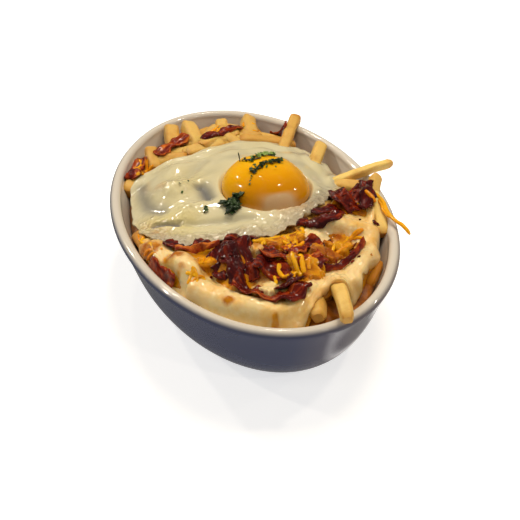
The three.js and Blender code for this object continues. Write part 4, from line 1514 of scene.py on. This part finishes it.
@dataclass
class FriedEgg:
    """The egg: a wavy white with a ruffled edge and the dome of the yolk.

    The white is as thick as the seat below the yolk, the collar round it and the skirt
    farther out.
    """

    land: Landscape
    segments: int = 340
    rings: int = 86
    yolk_segments: int = 150
    yolk_rings: int = 56
    yolk_radius: float = 22.0
    yolk_height: float = 12.5
    seat: float = 1.6
    collar: float = 4.6
    skirt: float = 2.6
    thinnest: float = 0.9
    swell: float = 0.35
    crimp: float = 0.45
    skin: tuple = (1.4, 4.5)
    raised: float = 2.5
    film_spot: tuple = ((9, -22), 8)
    ruffles: Sequence[tuple] = ((0.7, 17, 0.6), (0.5, 41, 0), (0.3, 73, 2))
    seed: int = 37
    lumps: Sequence[tuple] = (
        # place, radius, height
        ((-36, 12), 13, 4.6), ((-31, -7), 9, 2.2), ((-30, 34), 11, 2.4), ((2, 40), 11, 1.8),
        ((34, 30), 10, 1.6), ((-10, -28), 11, 1.0), ((28, -14), 9, 0.8), ((-6, 30), 8, 1.2),
    )
    folds: Sequence[tuple] = (
        # path, width, depth, and share of painted shade in the fold
        (((-48.5, 31), (-50.2, 20), (-49.7, 9), (-47.3, 3), (-44, 0)), 3.2, 1.0, 0.6),
        (((-22, 10), (-21.2, 5), (-21, -1)), 3.4, 2.6, 0.85),
        (((-50, -7.5), (-44.6, -10), (-39, -13.5)), 1.2, 3.0, 0.9),
        (((-39, -13), (-30, -18), (-20, -21), (-6, -26)), 2.2, 1.3, 0.25),
        (((26, -20), (36, -10), (46, -1)), 3.0, 1.0, 0.25),
        (((-14, 36), (-26, 24)), 3.0, 1.4, 0.2),
    )
    bubble_zones: Sequence[tuple] = (
        # place, spread, count, width
        ((-32, 13), (6, 5), 40, 0.8), ((-30, -6), (7, 3), 10, 0.9), ((-18, -31), (16, 3), 20, 0.9),
        ((18, -26), (10, 3), 14, 0.9), ((38, -10), (5, 5), 10, 1.0),
    )
    tints: Sequence[tuple] = (
        # name, then place, radius and strength of its spots
        ("blush", (((20, -22), 8, 0.35), ((10, -24), 7, 0.35))),
        ("butter", (((-40, -14), 16, 0.6), ((-30, 18), 14, 0.5), ((-54, -6), 9, 0.9))),
        ("stain", (((-49, -15), 6, 0.8), ((-54, -6), 5, 0.5))),
    )

    def _bubbles(self, x: np.ndarray, y: np.ndarray) -> np.ndarray:
        """Returns the relief of small blisters, denser on the left and at the front."""
        rng = np.random.default_rng(self.seed)
        relief = np.zeros_like(x)
        for at, spread, count, width in self.bubble_zones:
            for _ in range(count):
                place = np.asarray(at) + rng.normal(0, 1, 2) * spread
                relief += rng.uniform(0.25, 0.8) * hump(x, y, place,
                                                        width * rng.uniform(1.6, 3.0))
        return relief

    def _white(self) -> Form:
        """Returns the white as a closed sheet."""
        outline, away, turn = around(EGG_OUTLINE, YOLK_CENTRE, self.segments)
        ruffle = waves(turn, self.ruffles) * (0.4 + 0.6 * smoothstep(20, -10, outline[:, 1]))
        plan, share = spokes(outline, YOLK_CENTRE, self.rings, 1.3)
        outward = away / np.hypot(*away.T)[:, None]
        plan = plan + share[:, None, None] ** 9 * (ruffle[:, None] * outward)[None]
        x, y = plan[..., 0], plan[..., 1]
        edge = np.hypot(*away.T)[None] * (1 - share[:, None])
        radius = np.hypot(x - YOLK_CENTRE[0], y - YOLK_CENTRE[1])
        # The fringe band, 13 mm wide and strongest at the front, also carries the painted shade of
        # the front skirt.
        fringe = (1 - smoothstep(1.0, 13.0, edge)) * (0.1 + 0.9 * smoothstep(10, -20, y))
        r = self.yolk_radius
        rim = smoothstep(r - 0.6, r + 1.8, radius)
        thickness = self.seat + rim * (self.collar - self.seat + (self.skirt - self.collar)
                                       * smoothstep(r + 2, r + 15, radius))
        thickness += rim * (humps(x, y, self.lumps)
                            + self.swell * Unevenness(20, 31, 1)(x, y)
                            + self.crimp * fringe * Unevenness(5.5, 32)(x, y))
        # The folds are thinned and take painted shade.
        veil = np.zeros_like(x)
        for path, spread, depth, fold_shade_share in self.folds:
            along = rim * crease(x, y, path, spread)
            thickness -= depth * along
            veil = np.maximum(veil, fold_shade_share * along)
        thickness = (np.clip(thickness, self.thinnest, None)
                     * (0.25 + 0.75 * smoothstep(-1.5, 12.0, edge))
                     + rim * self._bubbles(x, y))
        under = self.land.sample(x, y, self.land.smoothed(*self.skin)) + 0.4
        base = HEAP.height(x, y) + HEAP.gap
        base = base + (1 - smoothstep(8, 16, edge)) * np.clip(under - base, 0, self.raised)
        low = base + (1 - smoothstep(0.5, 5, edge)) * (
            0.5 + 0.5 * np.sin(13 * turn) * np.sin(5 * turn))[None]
        return round_sheet(plan, low, low + thickness, {
            "fringe": fringe, "veil": np.clip(veil, 0, 1),
            **{key: np.clip(humps(x, y, spots), 0, 1) for key, spots in self.tints}})

    def _yolk(self) -> Form:
        """Returns the yolk's dome."""
        turns = circle(self.yolk_segments)
        outline = np.asarray(YOLK_CENTRE) + self.yolk_radius * np.stack(
            [np.cos(turns), np.sin(turns)], 1)
        plan, share = spokes(outline, YOLK_CENTRE, self.yolk_rings, 1.9)
        x, y = plan[..., 0], plan[..., 1]
        away = np.broadcast_to(share[:, None], x.shape)
        dome = self.yolk_height * np.clip(1 - away ** 2.8, 0, None) ** 0.56
        seat = HEAP.height(x, y) + 2 * HEAP.gap + self.seat
        high = seat + 0.8 + dome * (1 + 0.02 * Unevenness(22, 41, 2)(x, y))
        film = (3.0 * smoothstep(0.78, 0.94, away) * hump(x, y, *self.film_spot)
                + 0.2 * smoothstep(0.97, 1.0, away))
        return round_sheet(plan, seat + 0.1, high, {
            # The yolk's front is painted shade: it deepens in colour towards the front.
            "film": np.clip(film, 0, 1), "low": smoothstep(6, -18, y)})

    def build(self, white: bpy.types.Material, yolk: bpy.types.Material) -> None:
        """Makes and dresses the egg, and adds it to the landscape.

        Args:
            white: finish of the white.
            yolk: finish of the yolk.
        """
        forms = self._white(), self._yolk()
        laid(forms[0], self.land, "egg_white_sheet", white, "egg_white", "egg_white")
        laid(forms[1], self.land, "egg_yolk_dome", yolk, "egg_yolk", "egg_yolk")


def pebble(seed: int, rings: int = 5, count: int = 7) -> Form:
    """Returns an uneven crumb, one millimetre long, with a few dozen faces."""
    rng = np.random.default_rng(seed)
    turn = circle(count)
    layers = []
    for rise in np.radians(np.linspace(-62, 62, rings)):
        radius = 0.5 * math.cos(rise) * rng.uniform(0.75, 1.15, count)
        layers.append(np.stack([radius * np.cos(turn), radius * np.sin(turn),
                                np.full(count, 0.5 * math.sin(rise))], 1))
    zero = np.zeros((rings, count))
    return ring_body(np.stack(layers), {
        "along": zero, "across": zero + 0.2, "tone": zero + 0.3})


@dataclass
class BaconPile:
    """Broken rashers, each a crinkled strip laid on what is below it, and crumbs of them.

    row and lane are the mesh's spacing along and across a rasher, edge is the share of its
    thickness left at its edge.
    """

    land: Landscape
    thickness: float = 1.15
    row: float = 0.75
    lane: float = 0.9
    torn: float = 0.15
    end_width: float = 0.45
    end_length: float = 1.6
    edge: float = 0.35
    pressed: float = 0.35
    crinkle: float = 0.3
    pitches: tuple = (0.45, 0.7)
    curls: tuple = (-0.4, 1.0)
    skin: tuple = (1.2, 1.1)
    crumbs: int = 70
    crumb_spread: float = 4.5
    crumb_sizes: Sequence[tuple] = ((1.2, 4), (0.8, 2.2), (0.6, 1.3))
    seed: int = 61
    count: int = 22
    crumb_spots: Path = ((-24, -56), (-4, -60), (14, -54), (-12, -76), (26, -62), (44, -20),
                         (0, -48), (20, -36))
    tucked: Sequence[tuple] = (
        # path, width, wave, tilt, tone from lean to fat: rashers that the egg half hides
        # Those along the egg's front edge are dark, partly bacon and partly painted shadow under
        # the edge.
        (((-48, -25), (-40, -31), (-30, -36)), 8, 1.2, 0, 0.1),
        (((-34, -30), (-25, -39), (-19, -46)), 10, 1.4, 0, 0.2),
        (((-20, -34), (-14, -42), (-14, -50)), 9, 1.2, 0, 0.15),
        (((-10, -36), (-6, -45), (-7, -52)), 7, 1.0, 0, 0.3),
        (((14, -32), (19, -37), (26, -40), (33, -37)), 6, 1.2, 0, 0.2),
        (((24, -24), (31, -29), (38, -25)), 8, 1.4, 0, 0.15),
        (((36, -16), (46, -15), (57, -12)), 10, 2.0, 0, 0.35),
    )
    rashers: Sequence[tuple] = (
        (((-29, -42), (-26, -51), (-29, -61)), 11, 1.8, 0, 0.2),
        (((-20, -44), (-18, -53), (-21, -64)), 12, 2.0, 0, 0.3),
        # This rasher is near black, partly dark lean and partly painted shade for the gap between
        # the rashers.
        (((-25, -47), (-24, -56), (-25, -66)), 8, 1.6, 0, 0.05),
        (((-14, -57), (-8, -62), (0, -67)), 11, 1.8, 0, 0.45),
        (((-11, -52), (-3, -57), (4, -60)), 8, 1.4, 0, 0.5),
        (((0, -57), (9, -53), (19, -50)), 9, 1.8, 0, 0.65),
        (((-27, -66), (-20.6, -72.5), (-13, -79), (-6, -80.5), (3, -76)), 8, 2.0, 0, 0.5),
        (((-12, -75), (-5, -74), (2, -71)), 6, 1.2, 0, 0.2),
        (((11.5, -63.5), (17, -67.5), (24, -66), (32, -61.3), (39, -53)), 2.2, 0.2, 2.4, 0.35),
        (((3, -66), (10, -64), (17, -60)), 7, 1.2, 0, 0.5),
        (((-45, -34), (-39, -38), (-34, -39.5), (-26, -41)), 2.0, 0.6, 1.4, 0.95),
        (((35, -22), (45, -21), (57, -18)), 11, 2.2, 0, 0.3),
        (((59.5, -8), (56, -17), (51, -28)), 7, 1.6, 0, 0.15),
        (((48.5, -45), (50, -41)), 3.4, 0.5, 0, 0.2),
        (((-56.8, -33), (-54, -43), (-49.8, -53)), 3.2, 0.6, 0.8, 0.75),
        (((-53, 40), (-49, 48), (-44, 55)), 9, 1.4, 0, 0.6),
        (((-35, 53), (-27, 60), (-16, 65)), 8, 1.4, 0, 0.6),
        (((-10, 57), (-1, 60), (8, 64), (16, 69)), 6, 1.6, 0, 0.5),
        (((38, 58), (37, 64), (35, 72)), 6, 1.4, 0, 0.5),
        (((22, -50), (29, -53), (33, -57)), 5, 1.0, 0, 0.5),
    )

    def _strip(self, path: Path, width: float, wave: float, tilt: float, tone: float,
               seed: int) -> Form:
        """Lays one rasher.

        Args:
            path: its middle line over the plan.
            width: its width.
            wave: height of its waves.
            tilt: how much one side stands higher.
            tone: 0 for dark lean meat up to 1 for fat.
            seed: start of its random draw.

        Returns:
            The closed strip, which is also added to the landscape.
        """
        rng = np.random.default_rng(self.seed + seed)
        length = np.sum(np.linalg.norm(np.diff(np.asarray(path, float), axis=0), axis=1))
        rows, lanes = max(10, round(length / self.row)), max(5, round(width / self.lane))
        line = curve_through(path, rows)
        way = np.gradient(line, axis=0)
        way /= np.linalg.norm(way, axis=1)[:, None]
        along = np.linspace(0, length, rows)[:, None]
        u = np.linspace(-1, 1, lanes + 1)[None]
        ends = np.clip(np.minimum(along, length - along) / self.end_length, 0, 1)
        taper = self.end_width + (1 - self.end_width) * np.sqrt(1 - (1 - ends) ** 2)
        ragged = Unevenness(8, self.seed + 3 * seed, 2)
        left, right = (1 + self.torn * ragged(along, 0 * along + shift) for shift in (0, 40))
        spread = np.where(u < 0, left, right) * u * taper * width / 2
        x = line[:, :1] - way[:, 1:] * spread
        y = line[:, 1:] + way[:, :1] * spread
        base = self.land.sample(x, y, self.land.smoothed(*self.skin))
        phase, pitch = rng.uniform(0, 6.28), rng.uniform(*self.pitches)
        ripple = 0.5 + 0.5 * np.sin(phase + pitch * along + 0.8 * u)
        crinkle = Unevenness(5.0, self.seed + 7 * seed, 2)
        curl = rng.uniform(*self.curls) * u ** 2 * width / 8
        low = (base - self.pressed + wave * ripple + curl
               + self.crinkle * crinkle(along + 0 * u, 5 * u))
        low = low + tilt * (0.5 + 0.5 * u)
        thin = self.edge + (1 - self.edge) * np.sqrt(
            np.clip(1 - np.abs(u) ** 3, 0, 1)) * np.sqrt(np.clip(ends, 0.05, 1))
        high = low + self.thickness * thin
        x, y, z, across = (np.concatenate([under + 0 * low, (over + 0 * low)[:, ::-1]], 1)
                           for under, over in ((x, x), (y, y), (low, high), (u, u)))
        form = ring_body(np.stack([x, y, z], -1), {
            "along": along * 0.12 + 0 * z, "across": across * 0.5 * width / 8,
            "shade": np.full(z.shape, rng.uniform()), "tone": np.full(z.shape, tone)})
        self.land.add_points(form.points)
        return form

    def lay(self, strips: Iterable[tuple], first_seed: int) -> Form:
        """Returns several rashers as one form."""
        return Form.joined([self._strip(*strip, first_seed + i)
                            for i, strip in enumerate(strips)])

    def _crumbs(self, bacon: bpy.types.Material) -> bpy.types.Object:
        """Scatters crumbs of bacon over the front, and a few at the back."""
        rng = np.random.default_rng(self.seed)
        spots = rng.integers(0, len(self.crumb_spots), self.crumbs)
        places = (np.array(self.crumb_spots)[spots]
                  + rng.normal(0, self.crumb_spread, (self.crumbs, 2)))
        hidden = Cover(EGG_OUTLINE, YOLK_CENTRE)(*places.T)
        places = places[(HEAP.share(*places.T) < 0.93) & (hidden < 0.1)]
        count = len(places)
        turns = rng.uniform(-0.5, 0.5, (count, 3))
        turns[:, 2] = rng.uniform(0, 6.28, count)
        sizes = [rng.uniform(*limits, count) for limits in self.crumb_sizes]
        return ScatterTree("bacon_crumbs", bacon).scatter(
            "bacon_crumbs", pebble(11),
            np.column_stack([places, self.land.sample(*places.T) + 0.2]), turns,
            np.stack(sizes, 1), rng.uniform(0, 1, count))

    def build(self, under_egg: Form, bacon: bpy.types.Material) -> None:
        """Makes and dresses the rashers and the crumbs.

        Args:
            under_egg: the rashers that were laid before the egg.
            bacon: their finish.
        """
        pile = Form.joined([under_egg, self.lay(self.rashers, 100)])
        dress(pile.to_object("bacon_pile", bacon), "bacon",
                *(f"bacon_{i + 1:02d}" for i in range(self.count)))
        dress(self._crumbs(bacon), "bacon")


@dataclass
class CheddarShreds:
    """Half-melted shreds of cheddar over the sauce, and the thread over the right rim."""

    land: Landscape
    sizes: tuple = (1.6, 2.5)
    lengths: tuple = (5, 11)
    scatter: float = 0.6
    stray: float = 0.65
    bends: tuple = (-0.5, 0.5)
    sunk: float = 0.8
    skin: tuple = (0.8, 0.9)
    seed: int = 71
    zones: Sequence[tuple] = (
        # place, spread, count, direction in degrees
        ((-3, -43.5), (6, 2), 12, 15), ((8, -42.5), (4, 2.5), 9, 70), ((6, -50), (4, 2), 4, 50),
        ((28, -53), (5, 3), 4, 15), ((36, -48), (3, 1.5), 3, 30), ((7, -66), (5, 4), 3, 60),
        ((-34, -47), (2, 4), 2, 100), ((-42, -58), (3, 1.5), 7, 40),
        ((-54, -30), (1.5, 4), 5, 100), ((-57.5, -16), (1.2, 3), 7, 95),
        ((60, -8), (1.5, 3), 9, 100), ((57, -26), (2, 8), 5, 105), ((40, -66), (2, 3), 4, 120),
        ((-6, -69), (4, 3), 4, 20), ((0, 66), (26, 5), 8, 40), ((-46, 50), (3, 6), 6, 60),
    )
    thread: Path = ((60.5, -15, 49.6), (61.2, -24, 50.4), (59.6, -34, 50.4),
                    (59.9, -41, 50.6), (62.0, -46.5, 49.9), (63.8, -50.8, 47.8))

    def build(self, cheddar: bpy.types.Material) -> None:
        """Makes and dresses the shreds and the thread.

        Args:
            cheddar: their finish.
        """
        rng = np.random.default_rng(self.seed)
        smooth = self.land.smoothed(*self.skin)
        t = np.linspace(-0.5, 0.5, 14)
        sticks = []
        for at, spread, count, way in self.zones:
            for _ in range(count):
                x, y = np.asarray(at) + rng.normal(0, self.scatter, 2) * spread
                turn = math.radians(way) + rng.normal(0, self.stray)
                length, bend = rng.uniform(*self.lengths), rng.uniform(*self.bends)
                x = x + length * t * np.cos(turn + bend * 2 * t)
                y = y + length * t * np.sin(turn + bend * 2 * t)
                if HEAP.share(x, y).max() > 0.99:
                    continue
                z = self.land.sample(x, y, smooth) - self.sunk
                sticks.append(Stick(np.stack([x, y, z], 1), rng.uniform(*self.sizes),
                                    rng.uniform(-0.5, 0.5), rng.uniform(0, 1), 0.75))
        line = curve_through(self.thread, 22)
        sticks += [Stick(line, 2.1, 0.0, 0.2, 0.4),
                   Stick(line[5:15] + [-1.2, 1.0, -0.2], 1.8, 0.0, 0.5, 0.4)]
        dress(StickTree(Section.SHRED, cheddar).lay(
            "cheddar_shreds", sticks, Step=0.8 * MM, Flatness=0.7, Wobble=0.9 * MM,
            Wobble_scale=240.0), "sauce")
        LOG.info("laid %d shreds of cheddar", len(sticks))


@dataclass
class ParsleyGarnish:
    """A torn leaf, a sprig across the yolk, a pale tuft behind it, and flakes."""

    land: Landscape
    lifts: tuple = (0.1, 1.4)
    tilt: float = 0.7
    scales: tuple = (0.6, 1.25)
    stem_size: float = 0.75
    seed: int = 83
    clusters: Sequence[tuple] = (
        # path of the leaflets, how many, their length, spread, shade and its range
        (((-12, -18.5), (-13, -14), (-10.5, -10.5)), 34, 4.6, 1.6, 0.12, 0.25),
        (((0, -5.5), (4, -2.5), (9.5, 0.8), (13, 1.2), (16.5, 1.6)), 36, 2.3, 0.8, 0.2, 0.3),
        (((-2.5, -11.5), (-1, -8)), 4, 1.5, 0.4, 0.6, 0.3),
        (((3.5, 6.5), (7, 9.5), (12, 11), (16, 10)), 24, 2.5, 1.2, 0.8, 0.3),
        (((0, 8), (1.5, 6), (3, 5)), 4, 1.8, 0.3, 0.05, 0.1),
        (((-25.5, -12), (-24, -8.5)), 4, 2.4, 0.3, 0.3, 0.1),
        (((10, -4), (16, -2), (20, 4)), 5, 1.5, 1.5, 0.4, 0.4),
        (((-36, 9), (-28, 12)), 3, 1.5, 2.0, 0.4, 0.3),
    )
    stems: Sequence[Path] = (
        ((-2.4, 10.6, 5.4), (-1.8, 10.2, 2.8), (-0.6, 8.8, 1.0), (3.4, 5.6, 0.6), (8, 5.4, 0.5)),
        ((0, -6, 0.4), (4, -2.5, 0.7), (9.5, 0.8, 0.8), (17, 1.8, 0.5)),
        ((3.4, 6, 0.5), (8, 9.5, 0.8), (16, 10, 0.5)),
        ((-26, -13, 0.3), (-25, -10, 0.5), (-23.6, -7.5, 0.3)),
    )
    nodes: Sequence[str] = ("parsley_leaf", "parsley_sprig", "parsley_tuft", "parsley_flake")

    @staticmethod
    def _leaflet() -> Form:
        """Returns a small cupped leaf with a toothed edge, one millimetre long."""
        turn = circle(10)
        edge = 0.5 * (1 + 0.22 * np.cos(5 * turn))
        return ring_body(np.stack([
            np.stack([edge * share * np.cos(turn), 0.72 * edge * share * np.sin(turn),
                      lift + 0.16 * (share * np.sin(turn)) ** 2], 1)
            for share, lift in ((0.55, -0.02), (1.0, 0.06), (1.0, 0.13), (0.55, 0.06))]))

    def build(self, parsley: bpy.types.Material) -> None:
        """Makes and dresses the leaves and their stems.

        Args:
            parsley: their finish.
        """
        rng = np.random.default_rng(self.seed)
        leaves = []
        for path, count, length, spread, shade, vary in self.clusters:
            line = curve_through(path, max(count, 2))[:count]
            places = line + rng.normal(0, spread, line.shape)
            z = self.land.sample(*places.T) + rng.uniform(*self.lifts, count)
            turns = (rng.uniform(-self.tilt, self.tilt, (count, 2)),
                     rng.uniform(0, 6.28, count))
            scale = length * rng.uniform(*self.scales, count)
            shades = np.clip(shade + vary * rng.uniform(-1, 1, count), 0, 1)
            leaves.append(np.column_stack([places, z, *turns, scale, scale, scale, shades]))
        points, turns, sizes, shades = np.split(np.vstack(leaves), (3, 6, 9), axis=1)
        dress(ScatterTree("parsley_leaves", parsley).scatter(
            "parsley_leaves", self._leaflet(), points, turns, sizes, shades[:, 0]),
            "parsley", *self.nodes)
        sticks = []
        for stem in self.stems:
            line = curve_through(stem, 16)
            line[:, 2] += self.land.sample(line[:, 0], line[:, 1])
            sticks.append(Stick(line, self.stem_size, 0.0, 0.15, 0.6))
        dress(StickTree(Section.STEM, parsley).lay("parsley_stems", sticks, Step=0.9 * MM,
                                                   Wobble=0.3 * MM), "parsley")


# Camera, floor and light


@dataclass
class Studio:
    """The photograph's camera, a plain pale floor and soft light."""

    eye: tuple = (-93.4344697, -311.9614598, 263.6165173)
    right: tuple = (0.9541315, -0.2993344, 0.0056515)
    up: tuple = (0.1800454, 0.5887739, 0.7879905)
    forward: tuple = (0.2392001, 0.7508290, -0.6156615)
    lens: float = 54.07
    sensor: float = 36.0
    floor_half: float = 3.0
    room: float = 0.14
    streak: float = 0.42
    lamp_rise: float = 0.05
    air: Colour = (1.0, 0.96, 0.92)
    lamps: Sequence[tuple] = (
        # azimuth and elevation from the dish, distance, size, power, warmth, mirrored
        (48, 72, 1.1, 0.45, 6.8, 0.34, False),
        (222, 50, 1.2, 0.6, 1.7, 0.05, False),
        (121, 35, 1.2, 0.06, 2.6, 0.2, True),
        (155, 37, 1.2, 0.05, 2.2, 0.2, True),
        (-2, 59, 1.2, 0.08, 1.8, 0.25, True),
        (-8, 26, 1.2, 0.06, 0.8, 0.2, True),
        (-62, 41, 1.2, 0.06, 1.0, 0.2, True),
        (70, 60, 1.2, 0.09, 1.6, 0.25, True),
        (95, 48, 1.2, 0.06, 1.0, 0.2, True),
    )

    def _camera(self) -> None:
        """Makes the camera."""
        data = bpy.data.cameras.new("camera")
        data.sensor_width = self.sensor
        data.lens = self.lens
        data.clip_start = 0.01
        camera = linked("camera", data)
        turn = Matrix((self.right, self.up, [-k for k in self.forward])).transposed()
        camera.matrix_world = Matrix.Translation([k * MM for k in self.eye]) @ turn.to_4x4()
        bpy.context.scene.camera = camera

    def _floor(self) -> None:
        """Makes the floor."""
        half = self.floor_half
        mesh = bpy.data.meshes.new("floor")
        mesh.from_pydata([(-half, -half, 0), (half, -half, 0), (half, half, 0),
                          (-half, half, 0)], [], [(0, 1, 2, 3)])
        mesh.materials.append(Paper().make())
        floor = linked("floor", mesh)
        floor.visible_glossy = False

    def _lamp(self, name: str, azimuth: float, elevation: float, distance: float,
              size: float, power: float, warmth: float, mirrored: bool) -> None:
        """Hangs a round lamp that faces the dish.

        Args:
            name: its name.
            azimuth: direction from the dish, in degrees from +X towards +Y.
            elevation: degrees over the horizon.
            distance: metres from the dish.
            size: diameter in metres.
            power: watts.
            warmth: share of blue that is missing from the light.
            mirrored: whether wet surfaces mirror the lamp.
        """
        data = bpy.data.lights.new(name, "AREA")
        data.shape = "DISK"
        data.size = size
        data.energy = power
        data.color = (1.0, 1.0 - 0.4 * warmth, 1.0 - warmth)
        lamp = linked(name, data)
        a, e = math.radians(azimuth), math.radians(elevation)
        away = Vector((math.cos(a) * math.cos(e), math.sin(a) * math.cos(e), math.sin(e)))
        lamp.visible_glossy = mirrored
        lamp.location = away * distance
        lamp.location.z += self.lamp_rise
        lamp.rotation_euler = away.to_track_quat("Z", "Y").to_euler()

    def _sky(self) -> None:
        """Makes the dim room, with a warm glow low on the right that the glaze mirrors."""
        world = bpy.data.worlds.new("studio")
        world.use_nodes = True
        tree = Tree(world.node_tree)
        way = tree.add("ShaderNodeSeparateXYZ", {
            0: tree.add("ShaderNodeTexCoord").outputs["Generated"]}).outputs
        x, z = Value(tree, way["X"]), Value(tree, way["Z"])
        glow = x.band(-0.1, 0.6) * 0.12 + abs(x - self.streak).band(0.07, 0.0) * 0.7
        sky = world.node_tree.nodes["Background"].inputs
        tree.set(sky["Color"], self.air)
        tree.set(sky["Strength"], z.band(-0.15, -0.45) * glow + self.room)
        bpy.context.scene.world = world

    def build(self) -> None:
        """Makes the camera, the floor, the lamps and the sky."""
        self._camera()
        self._floor()
        for i, lamp in enumerate(self.lamps):
            self._lamp(f"lamp_{i + 1}", *lamp)
        self._sky()
        bpy.context.scene.view_settings.view_transform = "Standard"


def main() -> None:
    """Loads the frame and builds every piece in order."""
    logging.basicConfig(level=logging.INFO, format="%(message)s")
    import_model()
    Studio().build()
    bacon = CrispBacon().make()
    Dish().build(Glaze().make())
    LOG.info("dish made")
    land = Landscape()
    FriesHeap(land).build(Potato().make(), GapShadeCore().make())
    cheese = CheeseSauce().make()
    SauceSheet(land).build(cheese)
    LOG.info("sauce draped")
    pile = BaconPile(land)
    under_egg = pile.lay(pile.tucked, 1)
    FriedEgg(land).build(EggWhite().make(), Yolk().make())
    LOG.info("egg laid")
    pile.build(under_egg, bacon)
    LOG.info("bacon laid")
    MeltedPatches(land).build(cheese)
    CheddarShreds(land).build(Cheddar().make())
    ParsleyGarnish(land).build(Parsley().make())
    LOG.info("parsley strewn")


if __name__ == "__main__":
    main()
